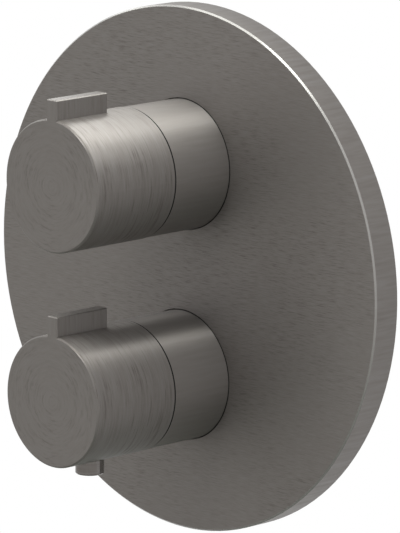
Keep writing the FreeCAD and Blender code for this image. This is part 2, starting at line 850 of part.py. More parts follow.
def chamber_hollow(depth):
    """The inside of a chamber: the wide bore for the nut, then the bore for the cartridge."""
    return turned(
        (0, -NECK_REACH - OVERCUT),
        (NECK_BORE, -NECK_REACH - OVERCUT),
        (NECK_BORE, CHAMBER_SHOULDER),
        (CHAMBER_BORE, CHAMBER_SHOULDER),
        (CHAMBER_BORE, depth),
        (0, depth),
    )


def branches(side):
    """The two side branches that take the unions, with a flared root and a beaded mouth."""
    root = BRANCH_RADIUS + BRANCH_FLARE
    bead = BRANCH_RADIUS + BRANCH_BEAD
    bead_start = BRANCH_REACH - BRANCH_BEAD_LENGTH
    form = turned_on_x(
        side,
        (0, 0),
        (0, root),
        (CHAMBER_RADIUS - BRANCH_FLARE / 2, root),
        (CHAMBER_RADIUS + BRANCH_FLARE_LENGTH, BRANCH_RADIUS),
        (bead_start - BRANCH_BEAD, BRANCH_RADIUS),
        (bead_start, bead),
        (BRANCH_REACH - BRANCH_BEAD, bead),
        (BRANCH_REACH, BRANCH_RADIUS),
        (BRANCH_REACH, 0),
    )
    lower = lifted(form, y=inlet_depth, z=temperature_height)
    upper = lifted(form, y=OUTLET_DEPTH, z=flow_height)
    return [lower, upper]


ring_recess = BRANCH_THREAD_RADIUS + UNION_ORING + FIT
recess_start = BRANCH_REACH - UNION_ORING - FIT * 2


def branch_hollows(side):
    """Threaded seats for the unions and the passages into the chambers."""
    cuts = []
    for y, z in ((inlet_depth, temperature_height), (OUTLET_DEPTH, flow_height)):
        mouth = side * (BRANCH_REACH + OVERCUT)
        cuts.append(rod_x(BRANCH_THREAD_RADIUS, side * thread_start, mouth, y, z))
        cuts.append(rod_x(ring_recess, side * recess_start, mouth, y, z))
    start = side * (CHAMBER_BORE - OVERCUT * 2)
    end = side * (thread_start + OVERCUT)
    gallery = hot_gallery if side < 0 else cold_gallery
    half_width, half_height = GALLERY_WIDTH / 2, GALLERY_HEIGHT / 2
    cuts.append(block((start, end), (gallery - half_width, gallery + half_width),
                      (temperature_height - half_height, temperature_height + half_height)))
    cuts.append(rod_x(OUTLET_BORE, start, end, OUTLET_DEPTH, flow_height))
    return cuts


def ears():
    """Lugs at the back that take the bracket's screws."""
    pieces = []
    for x, z in ((THERMO_EAR_X, temperature_height), (FLOW_EAR_X, flow_height)):
        front = body_back - EAR_DEPTH
        pieces.append(block((-x, x), (front, body_back), (z - EAR_RADIUS, z + EAR_RADIUS)))
        for side in (-1, 1):
            pieces.append(disc(EAR_RADIUS, front, body_back, side * x, z))
    return pieces


def ear_places():
    """The four places of the bracket's screws."""
    return [
        (side * x, z)
        for x, z in ((THERMO_EAR_X, temperature_height), (FLOW_EAR_X, flow_height))
        for side in (-1, 1)
    ]


def valve_body():
    """The casting: two chambers, a web, the duct for mixed water, branches and ears."""
    duct = rod_z(DUCT_RADIUS, temperature_height, flow_height, duct_depth)
    boss = disc(BOSS_RADIUS, FLOW_DEPTH, body_back, 0, flow_height)
    plug_seat = rod_z(DUCT_RADIUS, flow_height, duct_top, duct_depth)
    half = WEB_WIDTH / 2
    web = block((-half, half), (WEB_FRONT, WEB_BACK), (temperature_height, flow_height))
    solids = [lifted(chamber(THERMO_DEPTH), z=temperature_height)]
    solids.append(lifted(chamber(FLOW_DEPTH), z=flow_height))
    solids += [duct, boss, plug_seat, web] + branches(-1) + branches(1) + ears()
    body = joined(solids)

    cuts = [lifted(chamber_hollow(THERMO_DEPTH), z=temperature_height)]
    cuts.append(lifted(chamber_hollow(FLOW_DEPTH), z=flow_height))
    cuts += branch_hollows(-1) + branch_hollows(1)
    cuts.append(rod_z(DUCT_BORE, temperature_height + DUCT_BORE, duct_top + OVERCUT, duct_depth))
    cuts.append(rod_z(DUCT_PLUG_RADIUS, duct_top - DUCT_PLUG_LENGTH, duct_top + OVERCUT, duct_depth))
    cuts.append(disc(DUCT_BORE, FLOW_DEPTH - OVERCUT, duct_depth, 0, flow_height))
    half_recess = GALLERY_WIDTH / 2
    for gallery in (hot_gallery, cold_gallery):
        recess = disc(CHAMBER_BORE + GALLERY_RECESS, gallery - half_recess, gallery + half_recess)
        cuts.append(lifted(recess, z=temperature_height))
    for x, z in ear_places():
        screw_end = body_back - BRACKET_SCREW_LENGTH + BRACKET_SHEET - EASE
        cuts.append(disc(BRACKET_SCREW_RADIUS + FIT, screw_end, body_back + OVERCUT, x, z))
    for depth in neck_ring_depths:
        ring_seat = groove(NECK_RADIUS, neck_ring_inner - RUNNING, NECK_ORING, depth)
        cuts += [lifted(ring_seat, z=height) for height in (temperature_height, flow_height)]
    for cut in cuts:
        body = body.cut(cut)
    return body.removeSplitter()


def duct_plug():
    """The screw plug that closes the drilled duct."""
    seat = duct_top + FIT
    plug = rod_z(DUCT_PLUG_RADIUS - FIT, duct_top - DUCT_PLUG_LENGTH + EASE, seat + FIT, duct_depth)
    head = hexagon(DUCT_PLUG_HEX, seat, seat + DUCT_PLUG_HEAD, "z")
    head = turned_corners(head, DUCT_PLUG_HEX, Vector(0, 0, seat), Vector(0, 0, 1), DUCT_PLUG_HEAD)
    return joined([plug, lifted(head, y=duct_depth)])


# ---- Unions and check valves -----------------------------------------------

def union(side):
    """A screwed connector: thread into the body, hexagon, and a female pipe thread outside."""
    hex_start = BRANCH_REACH + FIT
    hex_end = hex_start + UNION_HEX_LENGTH
    port_start = UNION_REACH - PORT_LENGTH
    nipple = BRANCH_THREAD_RADIUS - FIT
    hub = UNION_HEX / 2 - FIT
    body = turned_on_x(
        side,
        (union_start, UNION_STOP_BORE),
        (union_start, nipple),
        (hex_start, nipple),
        (hex_start, hub),
        (hex_end, hub),
        (hex_end, UNION_RADIUS),
        (UNION_REACH - UNION_EDGE, UNION_RADIUS),
        (UNION_REACH, UNION_RADIUS - UNION_EDGE),
        (UNION_REACH, PORT_RADIUS),
        (port_start, PORT_RADIUS),
        (port_start, UNION_BORE),
        (check_start, UNION_BORE),
        (check_start, UNION_STOP_BORE),
    )
    low = min(side * hex_start, side * hex_end)
    bar = hexagon(UNION_HEX, low, low + UNION_HEX_LENGTH, "x")
    bar = turned_corners(bar, UNION_HEX, Vector(low, 0, 0), Vector(1, 0, 0), UNION_HEX_LENGTH)
    bore = rod_x(hub - FIT, low - OVERCUT, low + UNION_HEX_LENGTH + OVERCUT)
    return joined([body, bar.cut(bore)])


def union_ring(side):
    """The rubber ring round a union's thread, in the branch's recess."""
    half = UNION_ORING / 2
    middle = BRANCH_THREAD_RADIUS + half
    centre = Vector(side * (BRANCH_REACH - half), 0, 0)
    return Part.makeTorus(middle, half - RUNNING, centre, Vector(1, 0, 0))


def check_housing(side):
    """The cage of a check valve: a seat at the supply end and a guide for the stem."""
    guide_end = check_start + CHECK_GUIDE
    seat_start = check_end - CHECK_SEAT_LENGTH
    wall_inner = check_radius - CHECK_WALL
    stem_hole = POPPET_STEM + RUNNING
    cage = turned_on_x(
        side,
        (check_start, stem_hole),
        (check_start, check_radius),
        (check_end, check_radius),
        (check_end, CHECK_SEAT_BORE),
        (seat_start, CHECK_SEAT_BORE),
        (seat_start, wall_inner),
        (guide_end, wall_inner),
        (guide_end, stem_hole),
    )
    window = (wall_inner - stem_hole) / 3
    middle = (wall_inner + stem_hole) / 2
    for step in range(3):
        turn = math.radians(120 * step)
        hole = rod_x(window, side * (check_start - OVERCUT), side * (guide_end + OVERCUT),
                     middle * math.cos(turn), middle * math.sin(turn))
        cage = cage.cut(hole)
    return cage


def poppet_places():
    head_end = check_end - CHECK_SEAT_LENGTH - FIT
    return head_end - POPPET_THICKNESS, head_end


def poppet(side):
    """The valve disc of a check valve on its stem, closed against the seat."""
    head_start, head_end = poppet_places()
    return joined([
        rod_x(POPPET_RADIUS, side * head_start, side * head_end),
        rod_x(POPPET_STEM, side * (check_start + CHECK_GUIDE / 2), side * (head_start + FIT)),
    ])


def check_spring(side):
    """The light spring that closes a check valve."""
    start = check_start + CHECK_GUIDE + RUNNING
    length = poppet_places()[0] - RUNNING - start
    gap = coil_gap(CHECK_SPRING_RADIUS, CHECK_SPRING_WIRE, CHECK_SPRING_TURNS, length)
    print("check spring least gap between turns", round(gap, 2))
    spring = coil(CHECK_SPRING_RADIUS, CHECK_SPRING_WIRE, CHECK_SPRING_TURNS, length)
    spring.rotate(Vector(0, 0, 0), Vector(0, 1, 0), side * 90)
    return lifted(spring, x=side * start)


def strainer(side):
    """The perforated disc in front of a check valve."""
    start = check_end + FIT
    end = start + STRAINER_LENGTH
    piece = turned_on_x(
        side,
        (start, check_radius - STRAINER_WALL),
        (start, check_radius),
        (end, check_radius),
        (end, 0),
        (end - STRAINER_SHEET, 0),
        (end - STRAINER_SHEET, check_radius - STRAINER_WALL),
    )
    holes = [(0.0, 0.0)]
    for step in range(6):
        turn = math.radians(60 * step)
        holes.append((STRAINER_RING * math.cos(turn), STRAINER_RING * math.sin(turn)))
    for y, z in holes:
        piece = piece.cut(rod_x(STRAINER_HOLE, side * (start - OVERCUT), side * (end + OVERCUT), y, z))
    return piece


def make_waterways():
    keep("valve_body", valve_body())
    keep("duct_plug", duct_plug())
    at_inlet = {"y": inlet_depth, "z": temperature_height}
    at_outlet = {"y": OUTLET_DEPTH, "z": flow_height}
    for name, side in (("hot", -1), ("cold", 1)):
        keep(name + "_inlet_union", lifted(union(side), **at_inlet))
        keep(name + "_check_housing", lifted(check_housing(side), **at_inlet))
        keep(name + "_check_poppet", lifted(poppet(side), **at_inlet))
        keep(name + "_check_spring", lifted(check_spring(side), **at_inlet))
    keep("inlet_strainers", *[lifted(strainer(side), **at_inlet) for side in (-1, 1)])
    keep("left_outlet_union", lifted(union(-1), **at_outlet))
    keep("right_outlet_union", lifted(union(1), **at_outlet))
    rings = [lifted(union_ring(side), **place) for side in (-1, 1) for place in (at_inlet, at_outlet)]
    keep("union_orings", *rings)


# ---- Bracket ---------------------------------------------------------------

def slot(x, z, front, back):
    """A slotted hole along X."""
    radius = SLOT_WIDTH / 2
    half = SLOT_LENGTH / 2 - radius
    return joined([
        disc(radius, front, back, x - half, z),
        disc(radius, front, back, x + half, z),
        block((x - half, x + half), (front, back), (z - radius, z + radius)),
    ])


def bracket():
    """A folded steel sheet behind the body, with four slotted holes for the wall screws."""
    half_x, half_z = BRACKET_WIDTH / 2, BRACKET_HEIGHT / 2
    back = body_back + BRACKET_SHEET
    sheet = block((-half_x, half_x), (body_back, back), (-half_z, half_z))
    corners = [edge for edge in sheet.Edges if edge.BoundBox.YLength > BRACKET_SHEET / 2]
    sheet = sheet.makeFillet(BRACKET_CORNER, corners)
    flange_half = half_z - BRACKET_CORNER
    for side in (-1, 1):
        outer, inner = side * half_x, side * (half_x - BRACKET_SHEET)
        flange = block((outer, inner), (back - BRACKET_FLANGE, back), (-flange_half, flange_half))
        sheet = joined([sheet, flange])
    front, rear = body_back - OVERCUT, back + OVERCUT
    window_inner = DUCT_RADIUS + BRACKET_CORNER
    window_outer = half_x - BRACKET_CORNER * 2
    window_half = flow_height - CHAMBER_RADIUS + BRACKET_CORNER / 2
    for side in (-1, 1):
        across = (side * window_inner, side * window_outer)
        window = block(across, (front, rear), (-window_half, window_half))
        sharp = [edge for edge in window.Edges if edge.BoundBox.YLength > BRACKET_SHEET]
        sheet = sheet.cut(window.makeFillet(BRACKET_CORNER / 2, sharp))
        for end in (-1, 1):
            sheet = sheet.cut(slot(side * SLOT_SPACING_X / 2, end * SLOT_SPACING_Z / 2, front, rear))
    for x, z in ear_places():
        sheet = sheet.cut(disc(BRACKET_SCREW_RADIUS + EASE, front, rear, x, z))
    return sheet


def bracket_screw(x, z):
    """A pan head screw from behind, through the bracket into an ear."""
    seat = body_back + BRACKET_SHEET
    head_back = seat + BRACKET_HEAD_HEIGHT
    screw = joined([
        disc(BRACKET_HEAD_RADIUS, seat, head_back, x, z),
        disc(BRACKET_SCREW_RADIUS, seat - BRACKET_SCREW_LENGTH, seat + FIT, x, z),
    ])
    socket = hexagon(SCREW_HEX, head_back - SCREW_HEX_DEPTH, head_back + OVERCUT)
    return screw.cut(lifted(socket, x=x, z=z))


def make_bracket():
    keep("mounting_bracket", bracket())
    keep("bracket_screws", *[bracket_screw(x, z) for x, z in ear_places()])


# ---- Cartridges ------------------------------------------------------------

cartridge_groove = CHAMBER_BORE - RUNNING - CARTRIDGE_ORING


def cartridge_front_half(end):
    """The housing that both cartridges share: neck, flange, barrel and the cavity behind."""
    return turned(
        (SPINDLE_RADIUS + RUNNING, cartridge_front),
        (CARTRIDGE_NECK_RADIUS, cartridge_front),
        (CARTRIDGE_NECK_RADIUS, flange_front),
        (FLANGE_RADIUS, flange_front),
        (FLANGE_RADIUS, CHAMBER_SHOULDER),
        (CARTRIDGE_RADIUS, CHAMBER_SHOULDER),
        (CARTRIDGE_RADIUS, end),
        (CAVITY_RADIUS, end),
        (CAVITY_RADIUS, CAVITY_FRONT),
        (SPINDLE_RADIUS + RUNNING, CAVITY_FRONT),
    )


def ring_groove(depth):
    return groove(CARTRIDGE_RADIUS, cartridge_groove - RUNNING, CARTRIDGE_ORING, depth)


def cartridge_ring(depth):
    return oring(cartridge_groove, CARTRIDGE_ORING, depth)


def retaining_nut():
    """The nut in the neck that holds a cartridge by its flange."""
    back = flange_front - RUNNING
    front = back - NUT_LENGTH
    hex_front = front - NUT_HEX_LENGTH
    hex_length = NUT_HEX_LENGTH + FIT
    head = hexagon(NUT_HEX, hex_front, hex_front + hex_length)
    head = turned_corners(head, NUT_HEX, Vector(0, hex_front, 0), Vector(0, 1, 0), hex_length)
    nut = joined([disc(NECK_BORE - FIT, front, back), head])
    inner = CARTRIDGE_NECK_RADIUS + EASE
    return nut.cut(disc(inner, hex_front - OVERCUT, back + OVERCUT))


# Flow cartridge: the stack of discs from front to back
driver_front = shoulder_back + RUNNING
moving_front = driver_front + DRIVER_LENGTH + RUNNING
fixed_front = moving_front + DISC_THICKNESS + RUNNING
base_front = fixed_front + DISC_THICKNESS + RUNNING
base_flange = base_front + BASE_SPIGOT
base_back = FLOW_DEPTH - RUNNING
flow_ring_depth = moving_front


def flow_tail():
    """The tongue that turns the driver."""
    half_width, half_height = TONGUE_WIDTH / 2, TONGUE_HEIGHT / 2
    return block((-half_width, half_width), (shoulder_back - FIT, shoulder_back + TONGUE_LENGTH),
                 (-half_height, half_height))


def dogs(gap):
    """The two pins between the driver and the moving disc, or their holes."""
    pins = []
    front = moving_front - DRIVER_LENGTH / 2
    back = moving_front + DOG_LENGTH + gap * 2
    for side in (-1, 1):
        pins.append(disc(DOG_RADIUS + gap, front, back, side * DOG_OFFSET))
    return pins


def disc_driver():
    """The coupling that carries the tongue's turn to the moving disc."""
    half_width, half_height = TONGUE_WIDTH / 2 + FIT, TONGUE_HEIGHT / 2 + FIT
    body = disc(DRIVER_RADIUS, driver_front, driver_front + DRIVER_LENGTH)
    body = body.cut(block((-half_width, half_width), (driver_front - OVERCUT, moving_front + OVERCUT),
                          (-half_height, half_height)))
    return joined([body] + dogs(0.0))


def moving_disc():
    """The ceramic disc that turns. Its channel joins the middle port to one side port."""
    body = disc(DISC_RADIUS, moving_front, moving_front + DISC_THICKNESS)
    for hole in dogs(FIT):
        body = body.cut(hole)
    front, back = moving_front + DISC_THICKNESS / 2, fixed_front + OVERCUT
    channel = joined([
        disc(CENTRE_PORT, front, back),
        disc(CENTRE_PORT, front, back, 0, -SIDE_PORT_X),
        block((-CENTRE_PORT, CENTRE_PORT), (front, back), (-SIDE_PORT_X, 0)),
    ])
    return body.cut(channel)


def fixed_disc():
    """The ceramic disc that stands still, with a middle port and two side ports."""
    back = fixed_front + DISC_THICKNESS
    body = disc(DISC_RADIUS, fixed_front, back)
    body = body.cut(disc(CENTRE_PORT, fixed_front - OVERCUT, back + OVERCUT))
    for side in (-1, 1):
        hole = disc(SIDE_PORT, fixed_front - OVERCUT, back + OVERCUT, side * SIDE_PORT_X)
        body = body.cut(hole)
    return body


def base_ring(gap):
    """The rubber ring under the base, or its recess."""
    inner = CENTRE_PORT + EASE * 2
    front = base_back - BASE_SEAL - gap
    back = base_back + OVERCUT if gap else base_back
    return ring(inner + BASE_SEAL_WIDTH + gap, inner - gap, front, back)


def cartridge_base():
    """The bottom of the flow cartridge: mixed water enters in the middle and leaves at the sides."""
    body = joined([
        disc(CAVITY_RADIUS - FIT, base_front, base_flange + FIT),
        disc(CARTRIDGE_RADIUS, base_flange + RUNNING, base_back),
    ])
    body = body.cut(disc(CENTRE_PORT, base_front - OVERCUT, base_back + OVERCUT))
    for side in (-1, 1):
        down = disc(SIDE_PORT, base_front - OVERCUT, OUTLET_DEPTH, side * SIDE_PORT_X)
        out = rod_x(SIDE_PORT, side * SIDE_PORT_X, side * (CARTRIDGE_RADIUS + OVERCUT), OUTLET_DEPTH)
        body = body.cut(joined([down, out]))
    return body.cut(base_ring(RUNNING))


def make_flow_cartridge():
    housing = cartridge_front_half(base_flange).cut(ring_groove(flow_ring_depth))
    keep("flow_cartridge_housing", lifted(housing, z=flow_height))
    keep("flow_disc_driver", lifted(disc_driver(), z=flow_height))
    keep("flow_moving_disc", lifted(moving_disc(), z=flow_height))
    keep("flow_fixed_disc", lifted(fixed_disc(), z=flow_height))
    keep("flow_cartridge_base", lifted(cartridge_base(), z=flow_height))


# Thermostatic cartridge
thermo_ring_depths = {
    "housing": HOUSING_END - HOUSING_RING_TO_END,
    "middle": inlet_depth,
    "rear": barrel_end - BARREL_RING_TO_END,
}
lug_groove_end = NUT_HUB_START + NUT_HUB_LENGTH + NUT_SPARE_TRAVEL


def thermo_housing():
    """The front of the cartridge, with two grooves that keep the adjusting nut from turning."""
    spigot_front = HOUSING_END - BARREL_SPIGOT
    body = cartridge_front_half(HOUSING_END).cut(ring_groove(thermo_ring_depths["housing"]))
    body = body.cut(disc(BARREL_SPIGOT_RADIUS + FIT, spigot_front, HOUSING_END + OVERCUT))
    half = LUG_WIDTH / 2 + EASE
    reach = LUG_RADIUS + EASE
    track = block((-reach, reach), (shoulder_back, lug_groove_end), (-half, half))
    return body.cut(track)


def windows(front, back):
    """Openings all round the barrel."""
    half = WINDOW_WIDTH / 2
    reach = (SEAT_RADIUS + OVERCUT / 2, CARTRIDGE_RADIUS + OVERCUT)
    one = block((-half, half), (front, back), reach)
    return turned_copies(one, WINDOW_COUNT)


def thermo_barrel():
    """The rear of the cartridge: hot seat, hot and cold windows, cold seat."""
    spigot_front = HOUSING_END - BARREL_SPIGOT + FIT
    cold_back = cold_seat_front + SEAT_THICKNESS
    body = turned(
        (CAVITY_RADIUS, spigot_front),
        (BARREL_SPIGOT_RADIUS, spigot_front),
        (BARREL_SPIGOT_RADIUS, HOUSING_END + RUNNING),
        (CARTRIDGE_RADIUS, HOUSING_END + RUNNING),
        (CARTRIDGE_RADIUS, barrel_end),
        (CAVITY_RADIUS, barrel_end),
        (CAVITY_RADIUS, cold_back),
        (SEAT_RADIUS, cold_back),
        (SEAT_RADIUS, cold_seat_front),
        (CAVITY_RADIUS, cold_seat_front),
        (CAVITY_RADIUS, hot_seat_back),
        (SEAT_RADIUS, hot_seat_back),
        (SEAT_RADIUS, HOUSING_END),
        (CAVITY_RADIUS, HOUSING_END),
    )
    body = body.cut(windows(hot_seat_back, hot_seat_back + HOT_WINDOW_LENGTH))
    body = body.cut(windows(cold_seat_front - HOT_WINDOW_LENGTH, cold_seat_front))
    for name in ("middle", "rear"):
        body = body.cut(ring_groove(thermo_ring_depths[name]))
    return body


def end_cage():
    """The open end piece that holds the return spring and stands on the chamber's floor."""
    front = barrel_end + RUNNING
    back = THERMO_DEPTH - RUNNING
    half = CAGE_POST / 2
    hoop = ring(CAGE_RADIUS, CAGE_OPENING, front, front + CAGE_RING)
    reach = (CAGE_RADIUS - CAGE_POST - half, CAGE_RADIUS - half)
    post = block((-half, half), (front + CAGE_RING - FIT, back), reach)
    return joined([hoop, turned_copies(post, CAGE_POSTS)])


def stop_ring():
    """The ring on the cartridge's neck, with the lug that the button's finger meets."""
    front = cartridge_front + STOP_RING_SETBACK
    back = front + STOP_RING_THICKNESS
    start = FINGER_WIDTH / 2 + EASE
    end = start + STOP_LUG_WIDTH
    arm = block((start, end), (front, back), (-STOP_LUG_OUTER, 0))
    lug = block((start, end), (lug_front, back), (-STOP_LUG_OUTER, -STOP_LUG_INNER))
    body = joined([disc(STOP_RING_RADIUS, front, back), arm, lug])
    return body.cut(disc(CARTRIDGE_NECK_RADIUS + FIT / 2, front - OVERCUT, back + OVERCUT))


# The carrier: what the adjusting nut takes along
cup_front = NUT_HUB_START + NUT_HUB_LENGTH
cup_back = cup_front + CUP_LENGTH
cup_bore = CUP_RADIUS - CUP_WALL
spring_cup_front = cup_front + OVERLOAD_LENGTH + RUNNING * 2
spring_cup_back = spring_cup_front + SPRING_CUP_THICKNESS
cup_clip_front = spring_cup_back + RUNNING
cup_clip_back = cup_clip_front + CLIP_THICKNESS
overload_radius = cup_bore - OVERLOAD_WIRE - EASE
piston_front = spring_cup_front + SPRING_CUP_THICKNESS / 2


def adjusting_nut():
    """A nut on the spindle's thread that can't turn, with a cup for the overload spring."""
    half = LUG_WIDTH / 2
    groove_bottom = cup_bore + CUP_WALL / 2
    body = joined([
        disc(CUP_RADIUS, NUT_HUB_START, cup_back),
        block((-LUG_RADIUS, LUG_RADIUS), (NUT_HUB_START, cup_front), (-half, half)),
    ])
    inside = joined([
        disc(THREAD_RADIUS + RUNNING, NUT_HUB_START - OVERCUT, cup_front + OVERCUT),
        disc(cup_bore, cup_front, cup_back + OVERCUT),
        disc(groove_bottom, cup_clip_front - RUNNING, cup_clip_back + RUNNING),
    ])
    return body.cut(inside)


def cup_clip():
    """The ring that keeps the overload spring in the cup."""
    return ring(cup_bore + CUP_WALL / 2 - RUNNING, cup_bore - CUP_WALL, cup_clip_front, cup_clip_back)


def spring_cup():
    """The plate that the overload spring holds against the wax element's piston."""
    plate = disc(cup_bore - EASE, spring_cup_front, spring_cup_back)
    return plate.cut(disc(PISTON_RADIUS + RUNNING, piston_front, spring_cup_back + OVERCUT))


def wax_element():
    """The sealed wax cartridge: guide, flange and bulb, with the piston's bore."""
    flange_start = ELEMENT_FRONT + GUIDE_LENGTH
    bulb_start = flange_start + ELEMENT_FLANGE_LENGTH
    bulb_end = bulb_start + BULB_LENGTH
    bore_end = flange_start + ELEMENT_FLANGE_LENGTH / 2
    bore = PISTON_RADIUS + RUNNING
    return turned(
        (bore, ELEMENT_FRONT),
        (GUIDE_RADIUS, ELEMENT_FRONT),
        (GUIDE_RADIUS, flange_start),
        (ELEMENT_FLANGE, flange_start),
        (ELEMENT_FLANGE, bulb_start),
        (BULB_RADIUS, bulb_start),
        (BULB_RADIUS, bulb_end - BULB_EDGE),
        (BULB_RADIUS - BULB_EDGE, bulb_end),
        (0, bulb_end),
        (0, bore_end),
        (bore, bore_end),
    )


shuttle_radius = CAVITY_RADIUS - RUNNING
shuttle_ring_depth = SHUTTLE_FRONT + SHUTTLE_LENGTH / 2
hub_back = ELEMENT_FRONT + GUIDE_LENGTH - RUNNING
hub_front = hub_back - SPOKE_LENGTH


def shuttle():
    """The spool that opens hot as it closes cold, on four spokes round the wax element."""
    inner = shuttle_radius - SHUTTLE_WALL
    half = SPOKE_WIDTH / 2
    rim = ring(shuttle_radius, inner, SHUTTLE_FRONT, SHUTTLE_FRONT + SHUTTLE_LENGTH)
    ring_bottom = shuttle_radius - SHUTTLE_ORING - RUNNING
    rim = rim.cut(groove(shuttle_radius, ring_bottom, SHUTTLE_ORING, shuttle_ring_depth))
    hub = disc(ELEMENT_FLANGE, hub_front, hub_back)
    reach = inner + SHUTTLE_WALL / 4
    across = block((-reach, reach), (hub_front, hub_back), (-half, half))
    upright = block((-half, half), (hub_front, hub_back), (-reach, reach))
    body = joined([rim, hub, across, upright])
    return body.cut(disc(GUIDE_RADIUS + RUNNING, hub_front - OVERCUT, hub_back + OVERCUT))


def thermo_tail():
    """The thread that drives the adjusting nut."""
    return disc(THREAD_RADIUS, shoulder_back - FIT, shoulder_back + THREAD_LENGTH)


def make_thermo_cartridge():
    height = temperature_height
    piston = disc(PISTON_RADIUS, piston_front + RUNNING, piston_front + PISTON_LENGTH)
    overload = spring_on_y("overload_spring", overload_radius, OVERLOAD_WIRE, OVERLOAD_TURNS,
                           cup_front + RUNNING, cup_front + RUNNING + OVERLOAD_LENGTH)
    back_spring = spring_on_y("return_spring", RETURN_RADIUS, RETURN_WIRE, RETURN_TURNS,
                              hub_back + RUNNING, barrel_end - RUNNING)
    shuttle_ring = oring(shuttle_radius - SHUTTLE_ORING, SHUTTLE_ORING - RUNNING, shuttle_ring_depth)
    keep("thermo_housing", lifted(thermo_housing(), z=height))
    keep("thermo_barrel", lifted(thermo_barrel(), z=height))
    keep("thermo_end_cage", lifted(end_cage(), z=height))
    keep("stop_ring", lifted(stop_ring(), z=height))
    keep("adjusting_nut", lifted(adjusting_nut(), z=height))
    keep("overload_spring", lifted(overload, z=height))
    keep("cup_clip", lifted(cup_clip(), z=height))
    keep("spring_cup", lifted(spring_cup(), z=height))
    keep("wax_piston", lifted(piston, z=height))
    keep("wax_element", lifted(wax_element(), z=height))
    keep("shuttle", lifted(shuttle(), z=height))
    keep("shuttle_oring", lifted(shuttle_ring, z=height))
    keep("return_spring", lifted(back_spring, z=height))


def make_shared_cartridge_pieces():
    heights = (flow_height, temperature_height)
    keep("retaining_nuts", *[lifted(retaining_nut(), z=height) for height in heights])
    seals = [lifted(cartridge_ring(flow_ring_depth), z=flow_height), lifted(base_ring(0.0), z=flow_height)]
    for depth in thermo_ring_depths.values():
        seals.append(lifted(cartridge_ring(depth), z=temperature_height))
    keep("cartridge_seals", *seals)


# ---- The whole assembly ----------------------------------------------------

make_plate()
make_sleeves()
make_control("flow", "flow_spindle", flow_tail(), flow_height)
make_control("temperature", "thermo_spindle", thermo_tail(), temperature_height)
make_button()
make_waterways()
make_bracket()
make_flow_cartridge()
make_thermo_cartridge()
make_shared_cartridge_pieces()

os.makedirs("parts", exist_ok=True)
for name, solids in made.items():
    whole = solids[0] if len(solids) == 1 else Part.makeCompound(solids)
    whole.exportStep("parts/" + name + ".step")
print(len(made), "nodes written")
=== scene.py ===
import json
import math

import bpy
import numpy as np
from mathutils import Matrix, Vector


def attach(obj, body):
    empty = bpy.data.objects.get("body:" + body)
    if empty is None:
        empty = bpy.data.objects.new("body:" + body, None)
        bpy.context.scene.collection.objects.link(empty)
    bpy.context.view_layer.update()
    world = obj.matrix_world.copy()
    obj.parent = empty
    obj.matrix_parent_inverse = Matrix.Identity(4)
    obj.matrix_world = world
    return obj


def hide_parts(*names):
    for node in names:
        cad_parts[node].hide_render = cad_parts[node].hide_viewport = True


# The looks of a concealed thermostatic shower valve with its round cover plate.
# All lengths are in metres. Y runs into the wall and Z up, as in the frame.

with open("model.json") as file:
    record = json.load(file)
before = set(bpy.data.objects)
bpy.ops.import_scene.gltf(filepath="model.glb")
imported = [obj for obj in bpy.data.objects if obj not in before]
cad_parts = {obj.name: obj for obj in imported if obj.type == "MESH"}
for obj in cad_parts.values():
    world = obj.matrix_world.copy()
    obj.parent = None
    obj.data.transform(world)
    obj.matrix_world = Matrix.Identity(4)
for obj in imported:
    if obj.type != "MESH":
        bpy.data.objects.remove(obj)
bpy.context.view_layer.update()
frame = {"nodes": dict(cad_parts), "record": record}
nodes = frame["nodes"]

MM = 0.001

# Heights of the two controls' axes, and the places that the patterns follow
FLOW_HEIGHT = 40.4 * MM
TEMPERATURE_HEIGHT = -40.4 * MM
HANDLE_RADIUS = 24.85 * MM
BUTTON_RADIUS = 6.0 * MM
BUTTON_DEPTH = -59.6 * MM
PLATE_FRONT = -11.3 * MM
NECK_END = 3.0 * MM
BRANCH_END = 39.6 * MM
OUTLET_DEPTH = 17.5 * MM
INLET_DEPTH = 27.8 * MM
PLUG_DEPTH = 46.1 * MM

# ---- Node helpers ------------------------------------------------------------


def colour(code):
    """An sRGB hex value as linear red, green, blue and alpha."""
    parts = np.array([int(code[at:at + 2], 16) for at in (1, 3, 5)]) / 255
    linear = np.where(parts <= 0.04045, parts / 12.92, ((parts + 0.055) / 1.055) ** 2.4)
    return (*linear.tolist(), 1.0)


def add(tree, kind, *inputs, stops=(), **words):
    """Adds a node. Inputs come in order or by a capitalised name, as values, sockets or nodes.
    The small-letter words are the node's settings, and stops are a colour ramp's."""
    made = tree.nodes.new("ShaderNode" + kind)
    for name, value in words.items():
        if name.islower():
            setattr(made, name, value)
    plugs = list(zip([plug for plug in made.inputs if plug.enabled], inputs))
    named = [name for name in words if not name.islower()]
    plugs += [(made.inputs[name.replace("_", " ")], words[name]) for name in named]
    for plug, value in plugs:
        if isinstance(value, bpy.types.Node):
            value = next(out for out in value.outputs if out.enabled)
        if isinstance(value, bpy.types.NodeSocket):
            tree.links.new(value, plug)
        else:
            plug.default_value = value
    for at, (place, code) in enumerate(stops):
        elements = made.color_ramp.elements
        if at == len(elements):
            elements.new(place)
        elements[at].position = place
        elements[at].color = colour(code)
    return made


def new_material(name):
    """An empty node material, and its tree."""
    material = bpy.data.materials.new(name)
    material.use_nodes = True
    material.node_tree.nodes.clear()
    return material, material.node_tree


def dress(material, slot=None, names=()):
    """Gives the material to the named CAD nodes, or to all nodes of a record's slot."""
    rows = frame["record"]["subparts"]
    for name in names or [row["node"] for row in rows if row["material_slot"] == slot]:
        nodes[name].material_slots[0].material = material


def place_in_scene(made):
    """Links an object to the scene, and returns it."""
    bpy.context.scene.collection.objects.link(made)
    return made


# ---- Camera --------------------------------------------------------------------

